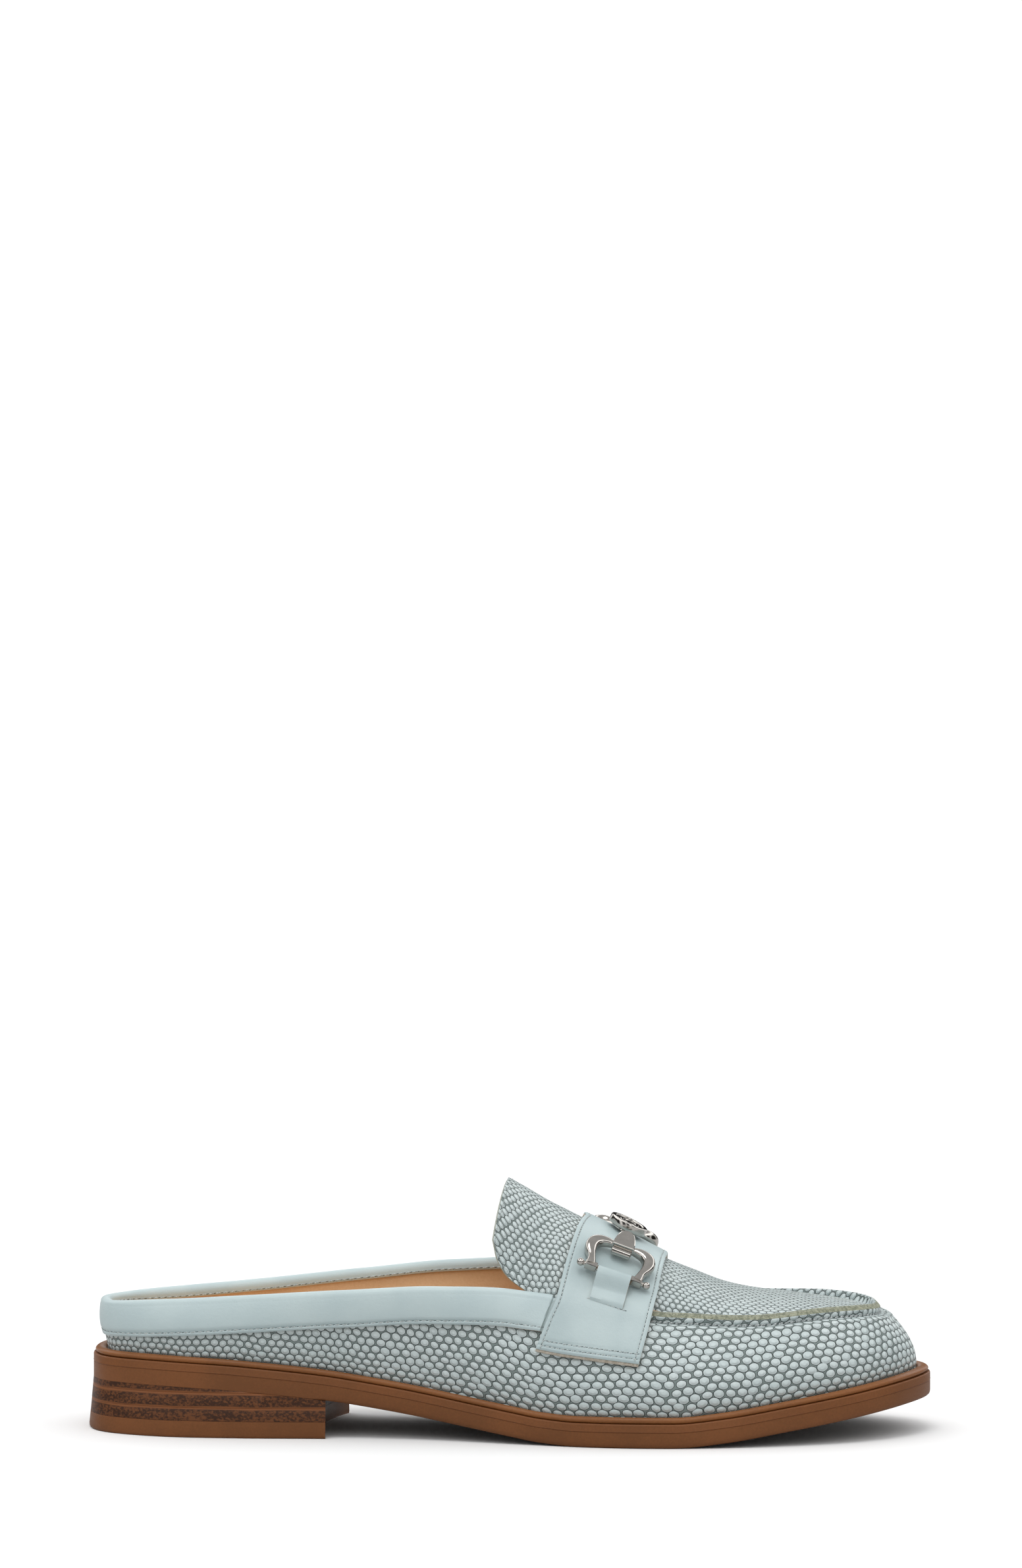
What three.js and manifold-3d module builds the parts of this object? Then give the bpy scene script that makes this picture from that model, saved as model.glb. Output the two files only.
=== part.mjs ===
// A right-foot loafer mule: stitched-toe upper with a free tongue, saddle strap with a metal bit,
// smooth collar band, welted sole and low stacked heel. Millimetres, +X to the toe, +Z up.
// +Y is the wearer's left, so the outer side of this right shoe is at -Y.
import * as THREE from "three";
import { mergeVertices } from "three/addons/utils/BufferGeometryUtils.js";
import Module from "manifold-3d";

const wasm = await Module();
wasm.setup();

// Driving sizes
const soleLength = 267.7;
const ballWidth = 93;
const heelHeight = 16.3;
const soleThickness = 7.5;
const toeSpring = 11;
const topHeight = 40;
const instepHeight = 69.3;
const wall = 1.8;
const wallSwell = 5;
const ledgeWidth = 3.2;
const beadHeight = 1.9;
const clearance = 0.3;
const insoleThickness = 3;
const ridgeHeight = 2.4;
const collarDepth = 11;
const collarThickness = 1.4;
const collarTurnIn = 4;
const strapThickness = 1.5;
const strapLift = 0.6;
const liftThickness = 5.2;
const heelLength = 78.5;
const breastHollow = 5;
const heelFlare = 1.4;
const grooveDepth = 0.4;
const edgeRounding = 1.1;
const medallionRadius = 6.3;
const medallionThickness = 2.8;
const rodRadius = 1.25;
const bitHalfSpan = 8;
const bitDrop = 11;
const claspLength = 7;
const tabWidth = 10.8;
const tabThickness = 0.9;
const archAngle = 1.1;

// How finely the surfaces are stepped
const ringSteps = 72;
const heelSteps = 40;
const plugSteps = 20;
const plugColumns = 14;
const strapColumns = 36;
const strapRows = 6;
const saddleSteps = 24;

// One row per station round the shoe, from the heel's back along the outer side to the toe and home.
// along and across place the sole's edge, topAlong and topAcross the wall's upper edge, as shares of
// soleLength and ballWidth. top is a share of topHeight, swell of wallSwell, ledge of ledgeWidth.
const stations = [
  { along: 0.0, across: 0.0, topAlong: 0.011, topAcross: 0.0, top: 0.4, swell: 0.08, ledge: 1.45 },
  { along: 0.022, across: -0.21, topAlong: 0.031, topAcross: -0.183, top: 0.4, swell: 0.15, ledge: 1.3 },
  { along: 0.098, across: -0.323, topAlong: 0.102, topAcross: -0.285, top: 0.435, swell: 0.25, ledge: 1.05 },
  { along: 0.195, across: -0.344, topAlong: 0.195, topAcross: -0.312, top: 0.51, swell: 0.3, ledge: 1.0 },
  { along: 0.307, across: -0.333, topAlong: 0.307, topAcross: -0.328, top: 0.64, swell: 0.3, ledge: 1.0 },
  { along: 0.42, across: -0.36, topAlong: 0.42, topAcross: -0.349, top: 0.805, swell: 0.35, ledge: 1.0 },
  { along: 0.532, across: -0.435, topAlong: 0.517, topAcross: -0.36, top: 0.915, swell: 0.6, ledge: 1.0 },
  { along: 0.636, across: -0.489, topAlong: 0.614, topAcross: -0.349, top: 0.88, swell: 0.9, ledge: 1.0 },
  { along: 0.737, across: -0.473, topAlong: 0.707, topAcross: -0.328, top: 0.8, swell: 1.0, ledge: 1.0 },
  { along: 0.83, across: -0.403, topAlong: 0.8, topAcross: -0.285, top: 0.69, swell: 0.9, ledge: 1.0 },
  { along: 0.913, across: -0.29, topAlong: 0.871, topAcross: -0.21, top: 0.64, swell: 0.8, ledge: 1.1 },
  { along: 0.972, across: -0.124, topAlong: 0.924, topAcross: -0.091, top: 0.58, swell: 0.62, ledge: 1.3 },
  { along: 1.0, across: 0.086, topAlong: 0.941, topAcross: 0.07, top: 0.54, swell: 0.55, ledge: 1.4 },
  { along: 0.978, across: 0.296, topAlong: 0.9275, topAcross: 0.22, top: 0.58, swell: 0.62, ledge: 1.3 },
  { along: 0.916, across: 0.425, topAlong: 0.877, topAcross: 0.333, top: 0.66, swell: 0.8, ledge: 1.1 },
  { along: 0.83, across: 0.495, topAlong: 0.8, topAcross: 0.387, top: 0.74, swell: 0.9, ledge: 1.0 },
  { along: 0.737, across: 0.516, topAlong: 0.707, topAcross: 0.392, top: 0.855, swell: 0.9, ledge: 1.0 },
  { along: 0.636, across: 0.478, topAlong: 0.614, topAcross: 0.387, top: 0.96, swell: 0.7, ledge: 1.0 },
  { along: 0.532, across: 0.376, topAlong: 0.517, topAcross: 0.371, top: 0.995, swell: 0.45, ledge: 1.0 },
  { along: 0.42, across: 0.285, topAlong: 0.42, topAcross: 0.345, top: 0.86, swell: 0.3, ledge: 1.0 },
  { along: 0.307, across: 0.305, topAlong: 0.307, topAcross: 0.323, top: 0.665, swell: 0.3, ledge: 1.0 },
  { along: 0.195, across: 0.317, topAlong: 0.195, topAcross: 0.301, top: 0.505, swell: 0.3, ledge: 1.0 },
  { along: 0.098, across: 0.301, topAlong: 0.102, topAcross: 0.274, top: 0.415, swell: 0.25, ledge: 1.05 },
  { along: 0.022, across: 0.199, topAlong: 0.031, topAcross: 0.172, top: 0.39, swell: 0.15, ledge: 1.3 },
];
const toeStation = 12;
const throatOuter = 6.48;
const throatInner = 17.52;

// Underside of the sole: heel is a share of heelHeight and spring a share of toeSpring.
const underside = [
  { along: 0.0, heel: 1.0, spring: 0 },
  { along: 0.072, heel: 0.988, spring: 0 },
  { along: 0.162, heel: 0.93, spring: 0 },
  { along: 0.222, heel: 0.853, spring: 0 },
  { along: 0.292, heel: 0.73, spring: 0 },
  { along: 0.326, heel: 0.65, spring: 0 },
  { along: 0.39, heel: 0.485, spring: 0 },
  { along: 0.457, heel: 0.29, spring: 0 },
  { along: 0.513, heel: 0.138, spring: 0 },
  { along: 0.55, heel: 0.045, spring: 0 },
  { along: 0.592, heel: 0, spring: 0 },
  { along: 0.704, heel: 0, spring: 0 },
  { along: 0.763, heel: 0, spring: 0.13 },
  { along: 0.838, heel: 0, spring: 0.41 },
  { along: 0.912, heel: 0, spring: 0.69 },
  { along: 0.976, heel: 0, spring: 0.93 },
  { along: 1.0, heel: 0, spring: 1.0 },
];

// Centre line of the vamp and tongue above the sole's ledge, a share of instepHeight.
const crest = [
  { along: 0.498, rise: 1.0 },
  { along: 0.52, rise: 0.967 },
  { along: 0.559, rise: 0.902 },
  { along: 0.583, rise: 0.861 },
  { along: 0.636, rise: 0.763 },
  { along: 0.685, rise: 0.668 },
  { along: 0.717, rise: 0.616 },
  { along: 0.756, rise: 0.541 },
  { along: 0.795, rise: 0.488 },
  { along: 0.838, rise: 0.4415 },
  { along: 0.887, rise: 0.384 },
  { along: 0.94, rise: 0.32 },
];

// Free part of the tongue, one row per fold from its back edge to the throat.
// half is a share of ballWidth, edge and crest are shares of soleLength, rise a share of instepHeight.
const tongueFolds = [
  { edge: 0.489, crest: 0.498, half: 0.285, rise: 0.745 },
  { edge: 0.494, crest: 0.508, half: 0.3, rise: 0.668 },
  { edge: 0.506, crest: 0.523, half: 0.305, rise: 0.6 },
  { edge: 0.53, crest: 0.545, half: 0.308, rise: 0.552 },
];

// The saddle strap's back and front edges, as shares of soleLength, from its crest down to its ends.
const strapEdges = [
  { down: 0, back: 0.5885, front: 0.685 },
  { down: 0.45, back: 0.571, front: 0.68 },
  { down: 0.72, back: 0.557, front: 0.673 },
  { down: 1, back: 0.544, front: 0.6635 },
];
// The strap's foot on the wall as a share of its height, on the paths where the saddle starts and ends.
const saddleReach = { start: -0.16, end: 0.44, startFoot: 0.6, endFoot: 0.4 };

// One side of a bit half's bent rod from its foot to its top: out is a share of bitHalfSpan, up of bitDrop.
const bitArch = [
  { out: 1, up: 0.06 },
  { out: 1.04, up: 0.24 },
  { out: 1.13, up: 0.42 },
  { out: 1.2, up: 0.66 },
  { out: 1.1, up: 0.88 },
  { out: 0.76, up: 0.99 },
  { out: 0.36, up: 1 },
];
// The bit's halves and the tabs' slits down the strap from its crest.
const bitDown = 0.35;
const slitDown = 0.565;
// How far the halves sit turned on the strap, toe end down.
const bitTurn = THREE.MathUtils.degToRad(5);

// Value at a place in a table, by a smooth curve that never overshoots its rows.
function smooth(rows, key, at, by = "along") {
  const last = rows.length - 1;
  const place = THREE.MathUtils.clamp(at, rows[0][by], rows[last][by]);
  let i = 0;
  while (i < last - 1 && place > rows[i + 1][by]) i += 1;
  const slope = (k) => (rows[k + 1][key] - rows[k][key]) / (rows[k + 1][by] - rows[k][by]);
  const tangent = (k) => {
    if (k === 0) return slope(0);
    if (k === last) return slope(last - 1);
    const before = slope(k - 1);
    const after = slope(k);
    return before * after <= 0 ? 0 : (2 * before * after) / (before + after);
  };
  const span = rows[i + 1][by] - rows[i][by];
  const t = (place - rows[i][by]) / span;
  const rise = rows[i + 1][key] - rows[i][key];
  const from = tangent(i) * span;
  const to = tangent(i + 1) * span;
  return rows[i][key] + from * t + (3 * rise - 2 * from - to) * t * t + (from + to - 2 * rise) * t ** 3;
}

const lengthwise = (share) => share * soleLength;
function undersideAt(x) {
  const heel = smooth(underside, "heel", x / soleLength) * heelHeight;
  const spring = smooth(underside, "spring", x / soleLength) * toeSpring;
  return heel + spring;
}
const ledgeAt = (x) => undersideAt(x) + soleThickness;
const crestAt = (x) => ledgeAt(x) + smooth(crest, "rise", x / soleLength) * instepHeight;

// Closed curves through the stations, read by station number.
function stationCurve(toPoint) {
  const curve = new THREE.CatmullRomCurve3(stations.map(toPoint), true, "catmullrom");
  return (station) => curve.getPoint((((station / stations.length) % 1) + 1) % 1);
}
const planPoint = (along, across) => new THREE.Vector3(along * soleLength, across * ballWidth, 0);
const solePoint = stationCurve((row) => planPoint(row.along, row.across));
const topPlan = stationCurve((row) => planPoint(row.topAlong, row.topAcross));
const stationSizes = stationCurve(
  (row) => new THREE.Vector3(row.top * topHeight, row.swell * wallSwell, row.ledge * ledgeWidth),
);

// Outward direction of the sole's outline, level with the floor.
function outward(station) {
  const step = 0.02;
  const tangent = solePoint(station + step).sub(solePoint(station - step));
  return new THREE.Vector3(-tangent.y, tangent.x, 0).normalize().negate();
}

// A point of the sole's outline moved inwards, at a height above or below the ledge.
function rimPoint(station, inset, above) {
  const edge = solePoint(station);
  const point = edge.clone().addScaledVector(outward(station), -inset);
  point.z = ledgeAt(edge.x) + above;
  return point;
}

// The upper's outer surface: t is -1 at the foot of the wall, 0 at the bead's top and 1 at the upper edge.
function wallPoint(station, t) {
  const sizes = stationSizes(station);
  const foot = rimPoint(station, sizes.z, beadHeight);
  if (t < 0) return foot.setZ(foot.z + t * (beadHeight - clearance));
  const top = topPlan(station).setZ(foot.z - beadHeight + sizes.x);
  const swell = sizes.y * Math.sin(Math.PI * t ** 0.85);
  return foot.clone().lerp(top, t).addScaledVector(outward(station), swell);
}

// A closed solid of even thickness over a grid of points, from offset near to offset far.
function sheet(rows, columns, pointAt, near, far, ring = false) {
  const grid = [];
  for (let i = 0; i <= rows; i += 1) {
    const line = [];
    for (let j = 0; j <= columns; j += 1) line.push(pointAt(i / rows, j / columns));
    grid.push(line);
  }
  const row = (i) => (ring ? (i + rows) % rows : THREE.MathUtils.clamp(i, 0, rows));
  const column = (j) => THREE.MathUtils.clamp(j, 0, columns);
  const normal = (i, j) => {
    const alongRows = grid[row(i + 1)][j].clone().sub(grid[row(i - 1)][j]);
    const alongColumns = grid[i][column(j + 1)].clone().sub(grid[i][column(j - 1)]);
    return alongRows.cross(alongColumns).normalize();
  };
  const moved = (i, j, offset) => grid[i][j].clone().addScaledVector(normal(row(i), j), offset);
  const shell = (offset) => grid.map((line, i) => line.map((_, j) => moved(i, j, offset)));
  return closedBetween(shell(far), shell(near), rows, columns, ring);
}

// Joins two grids of points into one closed solid.
function closedBetween(upper, lower, rows, columns, ring) {
  const triangles = [];
  const quad = (a, b, c, d) => triangles.push(a, b, c, a, c, d);
  const next = (i) => (ring ? (i + 1) % rows : i + 1);
  for (let i = 0; i < rows; i += 1) {
    for (let j = 0; j < columns; j += 1) {
      quad(upper[i][j], upper[next(i)][j], upper[next(i)][j + 1], upper[i][j + 1]);
      quad(lower[i][j], lower[i][j + 1], lower[next(i)][j + 1], lower[next(i)][j]);
    }
    quad(upper[i][0], lower[i][0], lower[next(i)][0], upper[next(i)][0]);
    quad(upper[next(i)][columns], lower[next(i)][columns], lower[i][columns], upper[i][columns]);
  }
  for (let j = 0; j < columns && !ring; j += 1) {
    quad(upper[0][j], upper[0][j + 1], lower[0][j + 1], lower[0][j]);
    quad(upper[rows][j + 1], upper[rows][j], lower[rows][j], lower[rows][j + 1]);
  }
  return geometryOf(triangles);
}

// Closed rings stacked on each other, closed at both ends by strips from one side to the other.
function stackedRings(rings) {
  const count = rings[0].length;
  const triangles = [];
  const quad = (a, b, c, d) => triangles.push(a, b, c, a, c, d);
  for (let k = 0; k < rings.length - 1; k += 1) {
    for (let i = 0; i < count; i += 1) {
      const j = (i + 1) % count;
      quad(rings[k][i], rings[k][j], rings[k + 1][j], rings[k + 1][i]);
    }
  }
  const cap = (ring, flip) => {
    for (let i = 0; i < count / 2; i += 1) {
      const a = ring[i];
      const b = ring[i + 1];
      const c = ring[count - i - 1];
      const d = ring[(count - i) % count];
      if (flip) quad(a, d, c, b);
      else quad(a, b, c, d);
    }
  };
  cap(rings[0], true);
  cap(rings[rings.length - 1], false);
  return geometryOf(triangles);
}

// Triangles of three corners as a geometry with shared corners and no empty triangles.
function geometryOf(corners) {
  const flat = new Float32Array(corners.length * 3);
  corners.forEach((point, i) => point.toArray(flat, i * 3));
  const loose = new THREE.BufferGeometry().setAttribute("position", new THREE.BufferAttribute(flat, 3));
  return withoutSlivers(mergeVertices(loose, 1e-3));
}

function withoutSlivers(geometry) {
  const index = geometry.index.array;
  const kept = [];
  for (let i = 0; i < index.length; i += 3) {
    const [a, b, c] = index.slice(i, i + 3);
    if (a !== b && b !== c && c !== a) kept.push(a, b, c);
  }
  geometry.setIndex(kept);
  return geometry;
}

// A geometry as a solid that can be joined and cut, and back.
function solidOf(geometry) {
  const bare = new THREE.BufferGeometry().setAttribute("position", geometry.getAttribute("position"));
  bare.setIndex(geometry.index);
  const merged = withoutSlivers(mergeVertices(bare, 1e-3));
  const vertProperties = new Float32Array(merged.attributes.position.array);
  const triVerts = new Uint32Array(merged.index.array);
  const solid = new wasm.Manifold(new wasm.Mesh({ numProp: 3, vertProperties, triVerts }));
  if (solid.volume() > 0) return solid;
  for (let i = 0; i < triVerts.length; i += 3) {
    [triVerts[i], triVerts[i + 1]] = [triVerts[i + 1], triVerts[i]];
  }
  return new wasm.Manifold(new wasm.Mesh({ numProp: 3, vertProperties, triVerts }));
}

function geometryFrom(solid) {
  const mesh = solid.getMesh();
  const geometry = new THREE.BufferGeometry();
  geometry.setAttribute("position", new THREE.BufferAttribute(new Float32Array(mesh.vertProperties), 3));
  geometry.setIndex(new THREE.BufferAttribute(new Uint32Array(mesh.triVerts), 1));
  return geometry;
}

const joined = (geometries) => geometries.map(solidOf).reduce((sum, solid) => sum.add(solid));

// A ring round the whole shoe at an inset and a height given by the station.
function ringAt(insetAt, aboveAt) {
  return Array.from({ length: ringSteps }, (_, i) => {
    const station = (i / ringSteps) * stations.length;
    return rimPoint(station, insetAt(station), aboveAt(station));
  });
}

// Sole slab: rounded lower edge, upright side with a fine moulded line, flat ledge on top.
function outsoleGeometry() {
  const lineDrop = 2.6;
  const lineWidth = 0.45;
  const levels = [
    { inset: edgeRounding, above: -soleThickness },
    { inset: edgeRounding * 0.3, above: -soleThickness + edgeRounding * 0.45 },
    { inset: 0, above: -soleThickness + edgeRounding * 1.4 },
    { inset: 0, above: -lineDrop - lineWidth },
    { inset: grooveDepth, above: -lineDrop },
    { inset: 0, above: -lineDrop + lineWidth },
    { inset: 0, above: -edgeRounding * 0.4 },
    { inset: edgeRounding * 0.4, above: 0 },
  ];
  const rings = levels.map((level) => ringAt(() => level.inset, () => level.above));
  return stackedRings(rings);
}

// Rounded bead that hides the joint between sole and upper.
function beadGeometry() {
  const profile = [
    { out: 0.8, above: clearance / beadHeight },
    { out: 0.84, above: 0.55 },
    { out: 0.66, above: 0.88 },
    { out: 0.36, above: 1.0 },
    { out: 0, above: 0.9 },
    { out: 0, above: clearance / beadHeight },
  ];
  const ledge = (station) => stationSizes(station).z;
  const inset = (station, row) => ledge(station) - clearance - row.out * (ledge(station) - clearance);
  const pointAt = (i, k) => {
    const station = i * stations.length;
    const row = profile[k % profile.length];
    return rimPoint(station, inset(station, row), row.above * beadHeight);
  };
  const triangles = [];
  for (let i = 0; i < ringSteps; i += 1) {
    for (let k = 0; k < profile.length; k += 1) {
      const a = pointAt(i / ringSteps, k);
      const b = pointAt(((i + 1) % ringSteps) / ringSteps, k);
      const c = pointAt(((i + 1) % ringSteps) / ringSteps, k + 1);
      const d = pointAt(i / ringSteps, k + 1);
      triangles.push(a, b, c, a, c, d);
    }
  }
  return geometryOf(triangles);
}

// Insole board and sock, inside the foot of the wall.
function insoleGeometry() {
  const rounding = 0.8;
  const inset = (station) => stationSizes(station).z + wall + clearance;
  return stackedRings([
    ringAt(inset, () => clearance),
    ringAt(inset, () => clearance + insoleThickness - rounding),
    ringAt((station) => inset(station) + rounding, () => clearance + insoleThickness),
  ]);
}

// Station where the sole's edge passes a place along the shoe, searched between two stations.
function stationAt(x, from, to) {
  let low = from;
  let high = to;
  for (let n = 0; n < 30; n += 1) {
    const mid = (low + high) / 2;
    if (solePoint(mid).x < x) low = mid;
    else high = mid;
  }
  return low;
}

// The heel's outline at one level, round its back and straight across its front.
function heelRing(out, heightAt) {
  const outer = stationAt(heelLength, 0, toeStation / 2);
  const inner = stationAt(heelLength, stations.length, stations.length - toeStation / 2) - stations.length;
  const half = heelSteps / 2;
  return Array.from({ length: heelSteps }, (_, i) => {
    const station = i < half ? (outer * i) / (half - 1) : (inner * (heelSteps - i)) / half;
    const point = rimPoint(station, -out, 0);
    return point.setZ(heightAt(point.x));
  });
}

// A solid with the hollow of the heel's breast cut out of its front.
function withBreast(geometry) {
  const halfChord = ballWidth / 3;
  const radius = (halfChord ** 2 + breastHollow ** 2) / (2 * breastHollow);
  const cutter = new THREE.CylinderGeometry(radius, radius, 4 * heelHeight, 96);
  cutter.rotateX(Math.PI / 2);
  cutter.translate(heelLength - breastHollow + radius, 0, 0);
  return solidOf(geometry).subtract(solidOf(indexed(cutter)));
}

// Leather-look stack under the sole, with a fine groove between its layers.
function heelStackGeometry() {
  const sliver = 0.06;
  const layers = [0.57, 0.86];
  const groove = 0.35;
  const top = (x) => undersideAt(x) - clearance;
  const flareAt = (z) => heelFlare * (1 - z / heelHeight);
  const rings = [heelRing(flareAt(liftThickness), () => liftThickness + clearance)];
  layers.forEach((share, n) => {
    const z = share * heelHeight;
    [-groove, 0, groove].forEach((shift, m) => {
      const below = sliver * (3 * (layers.length - n) - m);
      const out = flareAt(z) - (m === 1 ? grooveDepth : 0);
      rings.push(heelRing(out, (x) => Math.min(z + shift, top(x) - below)));
    });
  });
  rings.push(heelRing(flareAt(heelHeight), top));
  return withBreast(stackedRings(rings));
}

// Plain lift that meets the floor.
function topLiftGeometry() {
  return withBreast(
    stackedRings([
      heelRing(heelFlare - grooveDepth, () => 0),
      heelRing(heelFlare, () => grooveDepth),
      heelRing(heelFlare * (1 - liftThickness / heelHeight), () => liftThickness),
    ]),
  );
}

// Side edges and crest of the vamp plug: r is 1 at the toe, 0 at the throat and -1 at the tongue's end.
function plugRow(r) {
  const outerStation = throatOuter + (toeStation - throatOuter) * Math.max(r, 0);
  const innerStation = throatInner - (throatInner - toeStation) * Math.max(r, 0);
  const seat = (station) => {
    const point = wallPoint(station, 1).addScaledVector(outward(station), -wall / 2);
    return point.setZ(point.z - ridgeHeight);
  };
  const outer = seat(outerStation);
  const inner = seat(innerStation);
  const middle = outer.clone().lerp(inner, 0.5);
  if (r >= 0) return { outer, inner, crestX: middle.x };
  const throat = { edge: middle.x / soleLength, crest: middle.x / soleLength, half: 0, rise: 0 };
  throat.half = (inner.y - outer.y) / 2 / ballWidth;
  throat.rise = (middle.z - ledgeAt(middle.x)) / instepHeight;
  const folds = [...tongueFolds, throat].map((fold, i) => ({ ...fold, place: i / tongueFolds.length - 1 }));
  const read = (key) => smooth(folds, key, r, "place");
  const x = read("edge") * soleLength;
  const z = ledgeAt(x) + read("rise") * instepHeight;
  const half = read("half") * ballWidth;
  const lift = (inner.z - outer.z) / 2;
  const tilt = lift * THREE.MathUtils.clamp(1 + r, 0, 1) ** 2;
  return {
    outer: new THREE.Vector3(x, middle.y - half, z - tilt),
    inner: new THREE.Vector3(x, middle.y + half, z + tilt),
    crestX: read("crest") * soleLength,
  };
}

// The vamp plug and tongue's outer surface: v runs from -1 at the outer edge to 1 at the inner edge.
function plugPoint(r, v) {
  const row = plugRow(r);
  const spread = Math.sin(v * archAngle) / Math.sin(archAngle);
  const point = row.outer.clone().lerp(row.inner, (spread + 1) / 2);
  const crown = (Math.cos(v * archAngle) - Math.cos(archAngle)) / (1 - Math.cos(archAngle));
  const edgeHeight = (row.outer.z + row.inner.z) / 2;
  point.x += (row.crestX - point.x) * crown;
  point.z += (crestAt(row.crestX) - edgeHeight) * crown;
  return point;
}

// One hollow solid: the wall all round, the vamp plug with its free tongue, and the raised seam between.
function upperGeometry() {
  const levels = [-1, 0, 0.09, 0.22, 0.38, 0.55, 0.72, 0.87, 1];
  const last = levels.length - 1;
  const wallGeometry = sheet(
    ringSteps,
    last,
    (i, j) => wallPoint(i * stations.length, levels[Math.round(j * last)]),
    -wall,
    0,
    true,
  );
  return joined([wallGeometry, plugGeometry(0)]);
}

// The plug and tongue as a sheet, grown on both faces and past its side edges by a margin.
function plugGeometry(margin) {
  const toeEnd = 0.97;
  const reach = 1 + (4 * margin) / ballWidth;
  const pointAt = (i, j) => plugPoint(-1 + (1 + toeEnd) * i, reach * (2 * j - 1));
  return sheet(plugSteps, plugColumns, pointAt, -wall - margin, margin);
}

// Smooth path across the shoe under the strap, from the outer wall over the crest to the inner wall.
function saddlePath(share) {
  const r = THREE.MathUtils.lerp(saddleReach.start, saddleReach.end, share);
  const foot = THREE.MathUtils.lerp(saddleReach.startFoot, saddleReach.endFoot, share);
  const outerStation = throatOuter + (toeStation - throatOuter) * r;
  const innerStation = throatInner - (throatInner - toeStation) * r;
  const levels = [0, 1 / 3, 2 / 3, 1].map((up) => foot + (1 - foot) * up);
  const across = [-0.72, -0.5, -0.25, 0, 0.25, 0.5, 0.72];
  return new THREE.CatmullRomCurve3([
    ...levels.map((t) => wallPoint(outerStation, t)),
    ...across.map((v) => plugPoint(Math.max(r, -0.2), v)),
    ...levels.reverse().map((t) => wallPoint(innerStation, t)),
  ]);
}

// Paths from behind the strap to ahead of it.
const saddlePaths = Array.from({ length: saddleSteps + 1 }, (_, i) => saddlePath(i / saddleSteps));

// A point under the strap: x along the shoe, down from -1 at the outer end over 0 to 1 at the inner end.
function saddlePoint(x, down) {
  const t = (down + 1) / 2;
  const points = saddlePaths.map((path) => path.getPoint(t));
  let i = 0;
  while (i < points.length - 2 && points[i + 1].x < x) i += 1;
  return points[i].clone().lerp(points[i + 1], (x - points[i].x) / (points[i + 1].x - points[i].x));
}

// Place across the strap: 0 at its back edge and 1 at its front edge.
function strapX(across, down) {
  const back = smooth(strapEdges, "back", Math.abs(down), "down");
  const front = smooth(strapEdges, "front", Math.abs(down), "down");
  return lengthwise(back + (front - back) * across);
}

// Frame on the middle line of the strap's outer face: its place, its outward direction, and the way
// along the shoe, square to the strap's length but for the bit's turn.
function strapFrame(down) {
  const step = 0.01;
  const middle = 0.52;
  const at = (across, place) => saddlePoint(strapX(across, place), place);
  const point = at(middle, down);
  const forward = at(middle + step, down).sub(at(middle - step, down));
  const across = at(middle, down + step).sub(at(middle, down - step)).normalize();
  const out = forward.cross(across).normalize();
  point.addScaledVector(out, strapLift + strapThickness);
  const alongX = across.cross(out).normalize().applyAxisAngle(out, Math.sign(down) * bitTurn);
  return { point, out, alongX };
}

function strapGeometry() {
  return sheet(
    strapRows,
    strapColumns,
    (i, j) => saddlePoint(strapX(i, 2 * j - 1), 2 * j - 1),
    strapLift,
    strapLift + strapThickness,
  );
}

// Smooth band folded over the topline, ending against the strap on both sides.
function collarGeometry() {
  const rimSteps = 46;
  const outerEnd = throatOuter + 0.5;
  const innerEnd = throatInner - 0.5 - stations.length;
  const half = wall / 2 + clearance;
  const path = (station) => {
    const height = stationSizes(station).x - beadHeight;
    const n = outward(station);
    const from = 1 - (collarDepth - collarThickness) / height;
    const outside = [0, 0.3, 0.6, 0.85, 1].map((k) => from + (1 - from) * k);
    const top = wallPoint(station, 1).addScaledVector(n, -wall / 2);
    const inside = [0, 0.5, 1].map((k) => 1 - (k * collarTurnIn) / height);
    return [
      ...outside.map((t) => wallPoint(station, t).addScaledVector(n, clearance)),
      top.clone().addScaledVector(n, half * 0.6).setZ(top.z + clearance * 2),
      top.clone().setZ(top.z + clearance * 2.6),
      top.clone().addScaledVector(n, -half * 0.6).setZ(top.z + clearance * 2),
      ...inside.map((t) => wallPoint(station, t).addScaledVector(n, -wall - clearance * 1.5)),
    ];
  };
  const points = path(0).length - 1;
  const band = sheet(
    rimSteps,
    points,
    (i, j) => path(innerEnd + (outerEnd - innerEnd) * i)[Math.round(j * points)],
    0,
    collarThickness,
  );
  const trimmed = [strapGap(-1), strapGap(1), plugGeometry(2 * clearance)].map(solidOf);
  return trimmed.reduce((rest, cut) => rest.subtract(cut), solidOf(band));
}

// The space that the strap and what lies ahead of it take on one side of the shoe.
function strapGap(side) {
  const reach = ballWidth;
  const edge = (row) => {
    const point = saddlePoint(lengthwise(row.back), side * row.down);
    return [point.x - 2 * clearance, point.z];
  };
  const rows = [...strapEdges].reverse();
  const outline = new THREE.Shape();
  outline.moveTo(edge(rows[0])[0], 0);
  rows.forEach((row) => outline.lineTo(...edge(row)));
  outline.lineTo(edge(rows[rows.length - 1])[0], reach);
  outline.lineTo(soleLength, reach);
  outline.lineTo(soleLength, 0);
  outline.closePath();
  const block = new THREE.ExtrudeGeometry(outline, { depth: reach, bevelEnabled: false });
  block.rotateX(Math.PI / 2);
  block.translate(0, side > 0 ? reach : 0, 0);
  return indexed(block);
}

function indexed(geometry) {
  const bare = new THREE.BufferGeometry().setAttribute("position", geometry.getAttribute("position"));
  if (geometry.index) bare.setIndex(geometry.index);
  return mergeVertices(bare, 1e-3);
}

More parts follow.
